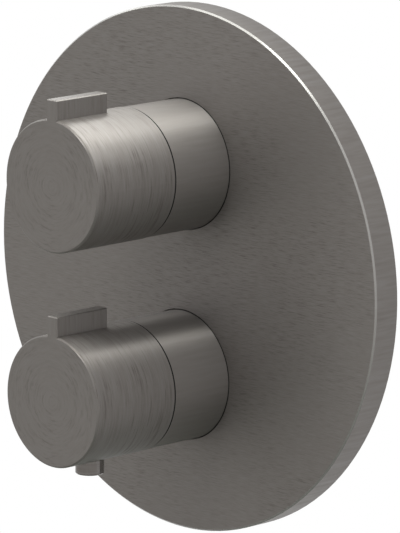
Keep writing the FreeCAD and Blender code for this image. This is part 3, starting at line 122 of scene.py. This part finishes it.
# The camera is worked out from the plate's and the handles' outlines in the photograph.
IMAGE_HEIGHT = 533
FOCAL_PIXELS = 5104.2
SENSOR = 36.0
NEAR_LIMIT = 0.05
TARGET = Vector((-2.12, 0.0, -0.82)) * MM
DISTANCE = 1930.1 * MM
AZIMUTH, ELEVATION, ROLL = (math.radians(angle) for angle in (45.254, 11.544, 0.187))


def make_camera():
    """A long lens that looks at the plate's middle from the right and a little above."""
    back = Vector((
        math.sin(AZIMUTH) * math.cos(ELEVATION),
        -math.cos(AZIMUTH) * math.cos(ELEVATION),
        math.sin(ELEVATION),
    ))
    level = Vector((math.cos(AZIMUTH), math.sin(AZIMUTH), 0.0))
    upright = back.cross(level)
    right = level * math.cos(ROLL) + upright * math.sin(ROLL)
    up = upright * math.cos(ROLL) - level * math.sin(ROLL)
    turn = Matrix((right, up, back)).transposed().to_4x4()
    data = bpy.data.cameras.new("camera")
    data.sensor_fit = "VERTICAL"
    data.sensor_height = SENSOR
    data.lens = FOCAL_PIXELS * SENSOR / IMAGE_HEIGHT
    data.clip_start = NEAR_LIMIT
    camera = place_in_scene(bpy.data.objects.new("camera", data))
    camera.matrix_world = Matrix.Translation(TARGET + back * DISTANCE) @ turn
    bpy.context.scene.camera = camera


make_camera()

# ---- Studio --------------------------------------------------------------------

# The world's shades by the share of the height that a ray rises to: 0 is straight down, 0.5
# level and 1 straight up.
SKY_SHADES = (
    (0.14, "#68756a"), (0.20, "#a1a7a0"), (0.28, "#d0d1cd"), (0.38, "#eeece9"), (0.56, "#ffffff"),
)
FLOOR_HEIGHT = -0.26
FLOOR_REACH = 1.6
WALL_REACH = 0.3
WALL_BOTTOM = -0.14
WALL_DEPTH = 0.3 * MM
LAMP_COLOUR = (0.98, 1.0, 0.96)
OBJECT_MIDDLE = (0.0, -0.03, 0.0)

# Each lamp's name, place, width and height, radiance, and the point that it faces
SOFTBOXES = (
    # On the wall above the plate, facing the room: it lights the tops of handles and sleeves
    ("wall_light_above", (-0.05, -0.004, 0.40), (0.46, 0.56), 5.0, (-0.05, -1.0, 0.40)),
    # Overhead and to the right: the long highlight on the upper right of handles and sleeves
    ("ceiling_softbox", (0.12, -0.18, 0.8), (0.56, 0.34), 11.0, OBJECT_MIDDLE),
    # Overhead in front, wide and weak: the even light on the plate and the handles' faces
    ("ceiling_softbox_front", (-0.25, -0.47, 0.92), (1.2, 0.4), 3.0, OBJECT_MIDDLE),
)


def make_world():
    """A white studio that darkens below the object."""
    world = bpy.data.worlds.new("studio")
    world.use_nodes = True
    tree = world.node_tree
    tree.nodes.clear()
    direction = add(tree, "TexCoord").outputs["Generated"]
    height = add(tree, "SeparateXYZ", direction).outputs["Z"]
    place = add(tree, "Math", height, 0.5, 0.5, operation="MULTIPLY_ADD")
    sky = add(tree, "Background", add(tree, "ValToRGB", place, stops=SKY_SHADES), 1.0)
    add(tree, "OutputWorld", Surface=sky)
    bpy.context.scene.world = world


def softbox(name, place, size, radiance, aim):
    """A rectangular lamp that faces the aim. Its power follows from its size and radiance."""
    data = bpy.data.lights.new(name, "AREA")
    data.shape = "RECTANGLE"
    data.size, data.size_y = size
    data.energy = radiance * math.pi * size[0] * size[1]
    data.color = LAMP_COLOUR
    lamp = place_in_scene(bpy.data.objects.new(name, data))
    turn = (Vector(aim) - Vector(place)).to_track_quat("-Z", "Y").to_matrix().to_4x4()
    lamp.matrix_world = Matrix.Translation(place) @ turn


def flat_sheet(name, corners, material):
    """One face through four corners, that isn't part of the object."""
    mesh = bpy.data.meshes.new(name)
    mesh.from_pydata(corners, [], [(0, 1, 2, 3)])
    mesh.materials.append(material)
    sheet = place_in_scene(bpy.data.objects.new(name, mesh))
    return sheet


def make_floor():
    """Pale matt vinyl below the plate. It keeps the shadow, and stays out of reflections, where
    the studio's darker lower half shows as it does under a wall."""
    material, tree = new_material("pale_matt_vinyl_floor")
    mottle = add(tree, "TexNoise", add(tree, "TexCoord").outputs["Object"], Scale=60.0, Detail=3.0)
    tint = add(tree, "ValToRGB", mottle, stops=((0.3, "#d2d1ce"), (0.7, "#dad9d6")))
    add(tree, "OutputMaterial", add(tree, "BsdfPrincipled", tint, Roughness=0.7))
    reach, height = FLOOR_REACH, FLOOR_HEIGHT
    near = [(-reach, -reach, height), (reach, -reach, height)]
    far = [(reach, reach, height), (-reach, reach, height)]
    flat_sheet("floor", near + far, material).visible_glossy = False


def make_wall():
    """The finished wall round the plate: white from the front, and open from behind."""
    material, tree = new_material("white_wall_backdrop")
    path = add(tree, "LightPath").outputs
    seen = add(tree, "Math", path["Is Camera Ray"], path["Is Glossy Ray"], operation="ADD")
    seen = add(tree, "Math", seen, path["Is Transmission Ray"], operation="ADD", use_clamp=True)
    behind = add(tree, "NewGeometry").outputs["Backfacing"]
    shown = add(tree, "Math", seen, behind, operation="SUBTRACT", use_clamp=True)
    white = add(tree, "Emission", colour("#ffffff"), 1.0)
    add(tree, "OutputMaterial", add(tree, "MixShader", shown, add(tree, "BsdfTransparent"), white))
    reach, bottom, depth = WALL_REACH, WALL_BOTTOM, WALL_DEPTH
    lower = [(-reach, depth, bottom), (reach, depth, bottom)]
    upper = [(reach, depth, reach), (-reach, depth, reach)]
    flat_sheet("wall", lower + upper, material)


make_world()
for lamp_row in SOFTBOXES:
    softbox(*lamp_row)
make_floor()
make_wall()

# ---- Surfaces --------------------------------------------------------------------

# Ranges of the Y part of a face's direction: -1 looks into the room and 1 into the wall
FRONT_FACE = (-1.1, -0.9)
FRONT_CHAMFER = (-0.9, -0.4)
FRONT_END = (-1.1, -0.3)
SIDE_AND_BACK = (-0.5, 1.1)
BACK_END = (0.3, 1.1)

# The tones' places on a pattern, and how far the pattern moves the roughness either way
TONE_PLACES = (0.25, 0.5, 0.75)
ROUGHNESS_SWING = 0.04

# Values of the strokes at which a scratch starts and is full, values of the patches' noise
# between which scratches grow frequent, and the share that is left outside the patches
SCRATCH_START, SCRATCH_FULL = 0.48, 0.36
PATCH_START, PATCH_FULL = 0.42, 0.58
OUTSIDE_SHARE = 0.1

UP = (0.0, 0.0, 1.0)


def about(tree, height=0.0, depth=0.0):
    """Object coordinates from a point on the middle plane: the vector and its three parts."""
    place = add(tree, "TexCoord").outputs["Object"]
    moved = add(tree, "VectorMath", place, (0.0, depth, height), operation="SUBTRACT")
    parts = add(tree, "SeparateXYZ", moved)
    return moved, parts.outputs["X"], parts.outputs["Y"], parts.outputs["Z"]


def stretched(tree, x, y, z, scales):
    """A pattern's coordinates: three parts, each times its own count of cells per metre. The
    scales are three numbers, or a node that gives them."""
    joined = add(tree, "CombineXYZ", x, y, z)
    return add(tree, "VectorMath", joined, scales, operation="MULTIPLY")


def off_control_axis(tree, z):
    """The height above the nearer one of the two controls' axes, and its mirror image below."""
    size = add(tree, "Math", z, operation="ABSOLUTE")
    return add(tree, "Math", size, FLOW_HEIGHT, operation="SUBTRACT")


def lathe_marks(tree, along, across, upright, loose, fine):
    """Coordinates whose noise draws rings round the axis of along, on sides and on end faces.
    There are fine cells per metre from ring to ring, and loose cells along each ring."""
    arm = add(tree, "CombineXYZ", across, 0.0, upright)
    radius = add(tree, "VectorMath", arm, operation="LENGTH")
    step = add(tree, "Math", along, radius, operation="ADD")
    return stretched(tree, across, step, upright, add(tree, "CombineXYZ", loose, fine, loose))


def strokes(tree, along, coarse_share=0.4):
    """Strokes from 0 to 1: a fine set, with a share of a coarse set of the same direction."""
    fine = add(tree, "TexNoise", along, Scale=1.0, Detail=3.0, Roughness=0.6)
    coarse = add(tree, "TexNoise", along, Scale=0.37, Detail=1.0)
    return add(tree, "Mix", coarse_share, fine, coarse)


def scratches(tree, brushed, place, patch_scale, most):
    """A mask of the deepest strokes, from 0 to most. They are frequent in patches, of which
    there are patch_scale per metre, and rare between them."""
    deep = add(tree, "MapRange", brushed, SCRATCH_START, SCRATCH_FULL, 0.0, 1.0)
    patchy = add(tree, "TexNoise", place, Scale=patch_scale, Detail=2.0)
    often = add(tree, "MapRange", patchy, PATCH_START, PATCH_FULL, OUTSIDE_SHARE, 1.0)
    broken = add(tree, "Math", deep, often, operation="MULTIPLY")
    return add(tree, "Math", broken, most, operation="MULTIPLY")


def facing(tree, span):
    """1 where the Y part of the face's direction lies in the span, or else 0."""
    low, high = span
    way = add(tree, "SeparateXYZ", add(tree, "TexCoord").outputs["Normal"]).outputs["Y"]
    return add(tree, "Math", way, (low + high) / 2, (high - low) / 2, operation="COMPARE")


def finish(tree, pattern, tones, roughness, metallic, lift, patches=(), anisotropy=0.0,
           tangent=None):
    """A surface whose pattern turns into tint, roughness and a height of lift mm. Each patch is
    a mask, with the tint and the roughness of the places where the mask is 1. The tangent is
    the direction in which a highlight is drawn out. Its part along the normal falls away, so a
    part outwards from the axis counts on end faces alone."""
    tint = add(tree, "ValToRGB", pattern, stops=tuple(zip(TONE_PLACES, tones)))
    rough = add(tree, "MapRange", pattern, TONE_PLACES[0], TONE_PLACES[-1],
                roughness + ROUGHNESS_SWING, roughness - ROUGHNESS_SWING)
    for mask, code, marked_roughness in patches:
        tint = add(tree, "Mix", mask, tint, colour(code), data_type="RGBA")
        rough = add(tree, "Mix", mask, rough, marked_roughness)
    height = add(tree, "Bump", Height=pattern, Strength=1.0, Distance=lift * MM)
    words = {"Metallic": metallic, "Normal": height}
    if tangent is not None:
        words["Anisotropic"] = anisotropy
        words["Tangent"] = add(tree, "VectorTransform", tangent, vector_type="VECTOR",
                               convert_from="OBJECT", convert_to="WORLD")
    add(tree, "OutputMaterial", add(tree, "BsdfPrincipled", tint, Roughness=rough, **words))


# ---- Brushed trim ----------------------------------------------------------------

# Brass with a dark grey vapour-deposited coat. The eye sees soft metal with a long grain:
# highlights run across the strokes, and each stroke tilts the reflection a little.
GUNMETAL = ("#635e5b", "#6b6764", "#716e6d")
COAT_METALLIC = 0.6
# Painted shade: end faces hidden in the thin gaps between handle, sleeve and plate are coloured
# near black for the shade in the seams
SEAM_PAINTED_SHADE = "#141312"
SEAM_ROUGHNESS = 0.6
SCRATCH_DARK = "#56514e"
SCRATCH_ROUGHNESS = 0.5
# Turned edges have no strokes, and catch the lamps as a thin bright line.
# Their lighter tint is a painted highlight on that line.
EDGE_PAINTED_HIGHLIGHT = "#8a8886"
EDGE_ROUGHNESS = 0.25

# Cells per metre of the trim's patterns. A real stroke is under 0.1 mm wide, which is too fine
# to show, so one cell is 0.5 mm on the handles' rings, 0.7 mm on their fins and 0.3 mm on the
# plate's face. Along a stroke a cell is 7 mm on a handle's side, 3 mm on its face and 5 mm on
# the plate, as long as such strokes look.
HANDLE_RINGS = 2100.0
HANDLE_SIDE_LENGTHS = 140.0
HANDLE_FACE_LENGTHS = 330.0
HANDLE_PATCHES = 70.0
FIN_STROKES = (1500.0, 1500.0, 90.0)
SLEEVE_MARKS = (700.0, 60.0, 700.0)
PLATE_STROKES = (200.0, 0.0, 3200.0)
PLATE_PATCHES = 22.0
RIM_STROKES = (700.0, 45.0, 700.0)
WAVES = 45.0
WAVE_HEIGHT = 2.0 * MM
BUTTON_RINGS = 1600.0
BUTTON_RING_LENGTHS = 60.0

# The strongest scratches on each place, and the share of a handle face's strokes that is calmed
SIDE_SCRATCHES, FACE_SCRATCHES, PLATE_SCRATCHES = 0.9, 0.5, 0.7
FACE_CALM = 0.5

# Room for the solids' facets where a surface's own place starts or ends
FIN_MARGIN = 0.15 * MM
SEAM_MARGIN = 0.1 * MM


def handle_metal(name, height):
    """Brushed round the axis, with short broken rings on the face and upright strokes on the
    fin. It gives a satin side with a soft highlight along the axis, and a duller face."""
    material, tree = new_material(name)
    place, x, y, z = about(tree, height)
    radius = add(tree, "VectorMath", add(tree, "CombineXYZ", x, 0.0, z), operation="LENGTH")
    on_fin = add(tree, "Math", radius, HANDLE_RADIUS + FIN_MARGIN, operation="GREATER_THAN")
    on_face = facing(tree, FRONT_FACE)
    loose = add(tree, "Mix", on_face, HANDLE_SIDE_LENGTHS, HANDLE_FACE_LENGTHS)
    rings = lathe_marks(tree, y, x, z, loose, HANDLE_RINGS)
    fin = stretched(tree, x, y, z, FIN_STROKES)
    brushed = strokes(tree, add(tree, "Mix", on_fin, rings, fin, data_type="VECTOR"))
    axial = add(tree, "CombineXYZ", x, HANDLE_RADIUS, z)
    tangent = add(tree, "Mix", on_fin, axial, (1.0, 1.0, 0.0), data_type="VECTOR")
    tangent = add(tree, "Mix", on_face, tangent, UP, data_type="VECTOR")
    most = add(tree, "Mix", on_face, SIDE_SCRATCHES, FACE_SCRATCHES)
    patches = (
        (scratches(tree, brushed, place, HANDLE_PATCHES, most), SCRATCH_DARK, SCRATCH_ROUGHNESS),
        # Painted shade: the back end in the seam at the sleeve is coloured near black
        (facing(tree, BACK_END), SEAM_PAINTED_SHADE, SEAM_ROUGHNESS),
    )
    calm = add(tree, "Math", on_face, FACE_CALM, operation="MULTIPLY")
    even = add(tree, "Mix", calm, brushed, TONE_PLACES[1])
    finish(tree, even, GUNMETAL, 0.44, COAT_METALLIC, 0.05, patches, 0.85, tangent)
    return material


def sleeve_metal(name, height):
    """Satin turned tube, smoother than the handles, with faint marks along its axis. Its end at
    the handle and its part inside the plate are painted near black as the shade in the seams,
    which gives the thin black seams."""
    material, tree = new_material(name)
    _, x, y, z = about(tree, height)
    marks = add(tree, "TexNoise", stretched(tree, x, y, z, SLEEVE_MARKS), Scale=1.0)
    faint = add(tree, "MapRange", marks, 0.0, 1.0, 0.35, 0.65)
    axial = add(tree, "CombineXYZ", x, HANDLE_RADIUS, z)
    painted_shade_in_plate = add(tree, "Math", y, PLATE_FRONT - SEAM_MARGIN, operation="GREATER_THAN")
    # Painted shade: the end at the handle and the part inside the plate are coloured near black
    patches = (
        (facing(tree, FRONT_END), SEAM_PAINTED_SHADE, SEAM_ROUGHNESS),
        (painted_shade_in_plate, SEAM_PAINTED_SHADE, SEAM_ROUGHNESS),
    )
    finish(tree, faint, GUNMETAL, 0.5, COAT_METALLIC, 0.01, patches, 0.9, axial)
    return material


def plate_metal():
    """Brushed straight across the face in slightly wavy strokes, and over the rim to the wall.
    It gives a calm grey disc with a fine level grain, scratched in places."""
    material, tree = new_material("plate_brushed_gunmetal")
    place, x, y, z = about(tree)
    on_rim = facing(tree, SIDE_AND_BACK)
    drift = add(tree, "TexNoise", place, Scale=WAVES, Detail=2.0)
    wavy = add(tree, "Math", drift, WAVE_HEIGHT, z, operation="MULTIPLY_ADD")
    face = stretched(tree, x, 0.0, wavy, PLATE_STROKES)
    rim = stretched(tree, x, y, z, RIM_STROKES)
    brushed = strokes(tree, add(tree, "Mix", on_rim, face, rim, data_type="VECTOR"), 0.2)
    around = add(tree, "CombineXYZ", z, 0.0, add(tree, "Math", x, -1.0, operation="MULTIPLY"))
    tangent = add(tree, "Mix", on_rim, UP, around, data_type="VECTOR")
    dark = scratches(tree, brushed, place, PLATE_PATCHES, PLATE_SCRATCHES)
    dark = add(tree, "Math", dark, facing(tree, FRONT_FACE), operation="MULTIPLY")
    patches = (
        (dark, SCRATCH_DARK, SCRATCH_ROUGHNESS),
        # The front chamfer gets a lighter tint, which is a painted highlight, and a lower
        # roughness
        (facing(tree, FRONT_CHAMFER), EDGE_PAINTED_HIGHLIGHT, EDGE_ROUGHNESS),
    )
    finish(tree, brushed, GUNMETAL, 0.42, COAT_METALLIC, 0.03, patches, 0.75, tangent)
    return material


def button_metal():
    """The button's cap, turned round its own upright axis and left smooth: the one glossy
    piece of the trim."""
    material, tree = new_material("button_turned_gunmetal")
    _, x, y, z = about(tree, 0.0, BUTTON_DEPTH)
    down = add(tree, "Math", z, -1.0, operation="MULTIPLY")
    marks = lathe_marks(tree, down, x, y, BUTTON_RING_LENGTHS, BUTTON_RINGS)
    rings = add(tree, "TexNoise", marks, Scale=1.0)
    axial = add(tree, "CombineXYZ", x, y, -BUTTON_RADIUS)
    finish(tree, rings, GUNMETAL, 0.14, COAT_METALLIC, 0.003, (), 0.3, axial)
    return material


for control, height in (("flow", FLOW_HEIGHT), ("temperature", TEMPERATURE_HEIGHT)):
    handle, sleeve = control + "_handle", control + "_sleeve"
    dress(handle_metal(handle + "_brushed_gunmetal", height), names=[handle])
    dress(sleeve_metal(sleeve + "_satin_gunmetal", height), names=[sleeve])
dress(plate_metal(), names=["cover_plate"])
dress(button_metal(), names=["button_cap"])

# ---- Concealed valve ---------------------------------------------------------------

# Freshly cut brass is a clear pale yellow, and a casting's blasted skin is duller and browner.
CUT_BRASS = ("#c4a86e", "#ceb47a", "#d8c089")
CAST_BRASS = ("#9c8558", "#a99264", "#b59f71")
CUT_ROUGHNESS = 0.3

# Cells per metre: a pebble of the blasted skin is about 1 mm, a cloud 14 mm, and a turned ring
# 0.7 mm, which is coarser than the tool's real feed so that it shows.
PEBBLES = 900.0
CLOUDS = 70.0
CLOUD_SHARE = 0.35
CAST_RINGS, CAST_RING_LENGTHS = 1500.0, 60.0
CUT_RINGS, CUT_RING_LENGTHS = 1400.0, 50.0


def body_casting():
    """Sand cast brass, blasted to a matt pebbled skin, and turned bright on necks and branch
    ends."""
    material, tree = new_material("valve_body_blasted_brass")
    place, x, y, z = about(tree)
    pebbles = add(tree, "TexNoise", place, Scale=PEBBLES, Detail=3.0, Roughness=0.7)
    clouds = add(tree, "TexNoise", place, Scale=CLOUDS, Detail=2.0)
    skin = add(tree, "Mix", CLOUD_SHARE, pebbles, clouds)
    marks = lathe_marks(tree, y, x, off_control_axis(tree, z), CAST_RING_LENGTHS, CAST_RINGS)
    rings = add(tree, "TexNoise", marks, Scale=1.0)
    neck = add(tree, "Math", y, NECK_END, operation="LESS_THAN")
    reach = add(tree, "Math", x, operation="ABSOLUTE")
    mouth = add(tree, "Math", reach, BRANCH_END, operation="GREATER_THAN")
    cut = add(tree, "Math", neck, mouth, operation="MAXIMUM")
    pattern = add(tree, "Mix", cut, skin, rings)
    patches = ((cut, CUT_BRASS[1], CUT_ROUGHNESS),)
    finish(tree, pattern, CAST_BRASS, 0.55, 1.0, 0.12, patches)
    return material


def turned_brass(name, axis):
    """Brass fresh from the lathe: fine bright rings round each piece's own axis. The axis is
    that of the controls, of the unions on their height, or of the upright plug."""
    material, tree = new_material(name)
    _, x, y, z = about(tree)
    aside = off_control_axis(tree, z)
    if axis == "control":
        along, across, upright = y, x, aside
    elif axis == "union":
        above = add(tree, "Math", z, 0.0, operation="GREATER_THAN")
        depth = add(tree, "Mix", above, INLET_DEPTH, OUTLET_DEPTH)
        along, across, upright = x, add(tree, "Math", y, depth, operation="SUBTRACT"), aside
    else:
        along, across, upright = z, x, add(tree, "Math", y, PLUG_DEPTH, operation="SUBTRACT")
    marks = lathe_marks(tree, along, across, upright, CUT_RING_LENGTHS, CUT_RINGS)
    finish(tree, strokes(tree, marks), CUT_BRASS, CUT_ROUGHNESS, 1.0, 0.006)
    return material


def plain_piece(name, tones, roughness, metallic, scales, lift):
    """One even material, whose noise has these cells per metre along X, Y and Z."""
    material, tree = new_material(name)
    _, x, y, z = about(tree)
    pattern = strokes(tree, stretched(tree, x, y, z, scales))
    finish(tree, pattern, tones, roughness, metallic, lift)
    return material


# Each record's slot with its finish: tones, roughness, metallic, cells per metre of the noise,
# and its height in mm. The finest grain is drawn with cells of 0.8 mm or more, so that it
# shows as texture and not as dust.
PLAIN_SLOTS = (
    # Zinc plate with a clear passivation: cool grey, rolled in one direction, soft sheen
    ("zinc_steel", "bracket_passivated_zinc", ("#999da1", "#a6aaad", "#b3b6b7"), 0.38, 1.0,
     (500.0, 500.0, 60.0), 0.01),
    # Turned and stamped stainless steel: neutral, brighter and sharper than the zinc
    ("stainless_steel", "small_parts_stainless", ("#a3a29e", "#aeada9", "#bab9b5"), 0.25, 1.0,
     (700.0, 700.0, 700.0), 0.002),
    # Drawn spring wire: darker steel with a slightly uneven oiled skin
    ("spring_steel", "spring_wire_steel", ("#7f7e7b", "#8d8c89", "#9b9a97"), 0.3, 1.0,
     (600.0, 600.0, 600.0), 0.003),
    # Moulded nitrile rubber: black, matt, with a faint bloom
    ("black_rubber", "seal_moulded_rubber", ("#171716", "#1d1d1c", "#262625"), 0.7, 0.0,
     (400.0, 400.0, 400.0), 0.01),
    # Open cell foam: grey, fully matt, with visible cells
    ("grey_foam", "gasket_cell_foam", ("#6f706f", "#8e8f8e", "#a5a6a5"), 0.95, 0.0,
     (1200.0, 1200.0, 1200.0), 0.2),
    # Lapped alumina: white with an even gloss
    ("white_ceramic", "moving_disc_lapped_ceramic", ("#e9e7e1", "#efede8", "#f3f2ee"), 0.16, 0.0,
     (250.0, 250.0, 250.0), 0.001),
    # Carbon loaded ceramic: mid grey with a faint mottle and a softer gloss
    ("grey_ceramic", "fixed_disc_grey_ceramic", ("#757574", "#7f7f7e", "#8a8a89"), 0.25, 0.0,
     (500.0, 500.0, 500.0), 0.002),
    # Acetal moulding: warm white, half gloss, faint flow marks
    ("white_plastic", "moulded_white_acetal", ("#e1dfd8", "#e9e7e1", "#efede8"), 0.38, 0.0,
     (120.0, 300.0, 120.0), 0.004),
    # Glass filled moulding: near black, half matt, streaked by its fibres
    ("black_plastic", "moulded_black_fibre", ("#19191a", "#202021", "#2b2b2c"), 0.45, 0.0,
     (900.0, 200.0, 900.0), 0.008),
    # Drawn copper capsule: warm red metal, lightly tarnished in clouds
    ("copper_capsule", "wax_element_drawn_copper", ("#a4603f", "#b8724f", "#c58462"), 0.3, 1.0,
     (150.0, 150.0, 150.0), 0.003),
)

dress(body_casting(), "cast_brass")
dress(turned_brass("cartridge_turned_brass", "control"), "machined_brass")
dress(turned_brass("duct_plug_turned_brass", "plug"), names=["duct_plug"])
for slot, name, *values in PLAIN_SLOTS:
    dress(plain_piece(name, *values), slot)

# ---- Unions with their pipe threads ------------------------------------------------

# One union's section, in millimetres from the valve's middle and from the union's own axis
UNION_BACK = 28.4
UNION_STOP = 30.2
HEX_START = 40.1
HEX_END = 46.8
UNION_END = 64.0
PORT_START = 50.0
STOP_BORE = 6.0
UNION_BORE = 7.6
NIPPLE_RADIUS = 9.5
OUTER_RADIUS = 13.2
OUTER_EDGE = 0.6
# The hexagon is 27 mm across its flats. A cone of 30 degrees turns its corners off from here.
HEX_HALF = 13.5
HUB_RADIUS = 13.4
CONE_SLOPE = math.sqrt(3)
# Places across the hexagon's ends, closer where the cone leaves the flats
CORNER_STEPS = (0.0, 0.12, 0.3, 0.55, 0.85, 1.26)
# G 1/2 pipe thread: 14 turns to the inch
THREAD_PITCH = 1.814
THREAD_MINOR = 9.316
THREAD_MAJOR = 10.478
THREAD_RUN_OUT = 2.0
THREAD_MOUTH = 1.2
TURN_STEPS = 144
STEPS_PER_PITCH = 14
SHARP_ANGLE = math.radians(28)
# What a point of the section lies on
PLAIN, HEXAGON, THREAD = 0, 1, 2


def section_places():
    """The section's points in turn, once round the wall from the stop bore: each one's reach,
    its plain radius, and whether it lies on a plain surface, the hexagon or the thread."""
    length = HEX_END - HEX_START
    across = np.array([*CORNER_STEPS, *(length - step for step in CORNER_STEPS[::-1])]) + HEX_START
    count = int((UNION_END - PORT_START) / THREAD_PITCH * STEPS_PER_PITCH)
    thread = np.linspace(UNION_END, PORT_START, count)
    before = [(UNION_BACK, STOP_BORE), (UNION_BACK, NIPPLE_RADIUS), (HEX_START, NIPPLE_RADIUS)]
    outside = [
        (HEX_END, OUTER_RADIUS),
        (UNION_END - OUTER_EDGE, OUTER_RADIUS),
        (UNION_END, OUTER_RADIUS - OUTER_EDGE),
    ]
    after = [(PORT_START, UNION_BORE), (UNION_STOP, UNION_BORE), (UNION_STOP, STOP_BORE)]
    parts = (
        (np.array(before), PLAIN),
        (np.column_stack([across, np.full(across.size, HEX_HALF)]), HEXAGON),
        (np.array(outside), PLAIN),
        (np.column_stack([thread, np.full(count, THREAD_MINOR)]), THREAD),
        (np.array(after), PLAIN),
    )
    places = np.concatenate([rows for rows, _ in parts])
    kinds = np.concatenate([np.full(len(rows), kind) for rows, kind in parts])
    return places[:, 0], places[:, 1], kinds


def union_with_thread(name, side, depth, height, material):
    """A union as one closed surface round its wall's section. The radius is a function of the
    reach and of the turn about the axis: on the hexagon it is the distance of the flat, cut by a
    cone of 30 degrees at both ends, and in the port it is the thread's wave, which advances one
    pitch in each turn, runs out at the bottom and opens wide at the mouth."""
    reach, radius, kinds = section_places()
    reach, radius, kinds = reach[:, None], radius[:, None], kinds[:, None]
    turn = np.arange(TURN_STEPS) * 2 * np.pi / TURN_STEPS
    flat = HEX_HALF / np.cos((turn + np.pi / 6) % (np.pi / 3) - np.pi / 6)
    cone = HUB_RADIUS + np.minimum(reach - HEX_START, HEX_END - reach) * CONE_SLOPE
    pitches = reach / THREAD_PITCH - side * turn / (2 * np.pi)
    wave = 0.5 - 0.5 * np.cos(2 * np.pi * pitches)
    run_out = np.clip((reach - PORT_START) / THREAD_RUN_OUT, 0, 1)
    mouth = np.clip((reach - UNION_END) / THREAD_MOUTH + 1, 0, 1)
    cut = np.maximum(wave * run_out, mouth) * (THREAD_MAJOR - THREAD_MINOR)
    radii = np.repeat(radius, TURN_STEPS, axis=1)
    radii = np.where(kinds == HEXAGON, np.minimum(flat, cone), radii)
    radii = np.where(kinds == THREAD, THREAD_MINOR + cut, radii)
    x = np.repeat(side * reach, TURN_STEPS, axis=1)
    points = np.stack([x, radii * np.cos(turn), radii * np.sin(turn)], axis=-1) * MM
    points += np.array((0.0, depth, height))
    at = np.arange(points.shape[0] * TURN_STEPS).reshape(-1, TURN_STEPS)
    along, round_it = np.roll(at, -1, axis=0), np.roll(at, -1, axis=1)
    both = np.roll(along, -1, axis=1)
    quads = np.stack([at, round_it, both, along], axis=-1).reshape(-1, 4)
    if side > 0:
        quads = quads[:, ::-1]
    mesh = bpy.data.meshes.new(name)
    mesh.from_pydata(points.reshape(-1, 3).tolist(), [], quads.tolist())
    mesh.shade_smooth()
    mesh.set_sharp_from_angle(angle=SHARP_ANGLE)
    mesh.materials.append(material)
    return place_in_scene(bpy.data.objects.new(name, mesh))


union_brass = turned_brass("union_turned_brass", "union")
for side, depth, height, node in (
    (-1, INLET_DEPTH, TEMPERATURE_HEIGHT, "hot_inlet_union"),
    (1, INLET_DEPTH, TEMPERATURE_HEIGHT, "cold_inlet_union"),
    (-1, OUTLET_DEPTH, FLOW_HEIGHT, "left_outlet_union"),
    (1, OUTLET_DEPTH, FLOW_HEIGHT, "right_outlet_union"),
):
    piece = union_with_thread(node + "_threaded", side, depth, height, union_brass)
    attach(piece, "fixed_valve")
    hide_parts(node)

# ---- End -------------------------------------------------------------------------

bpy.context.scene.view_settings.view_transform = "Standard"
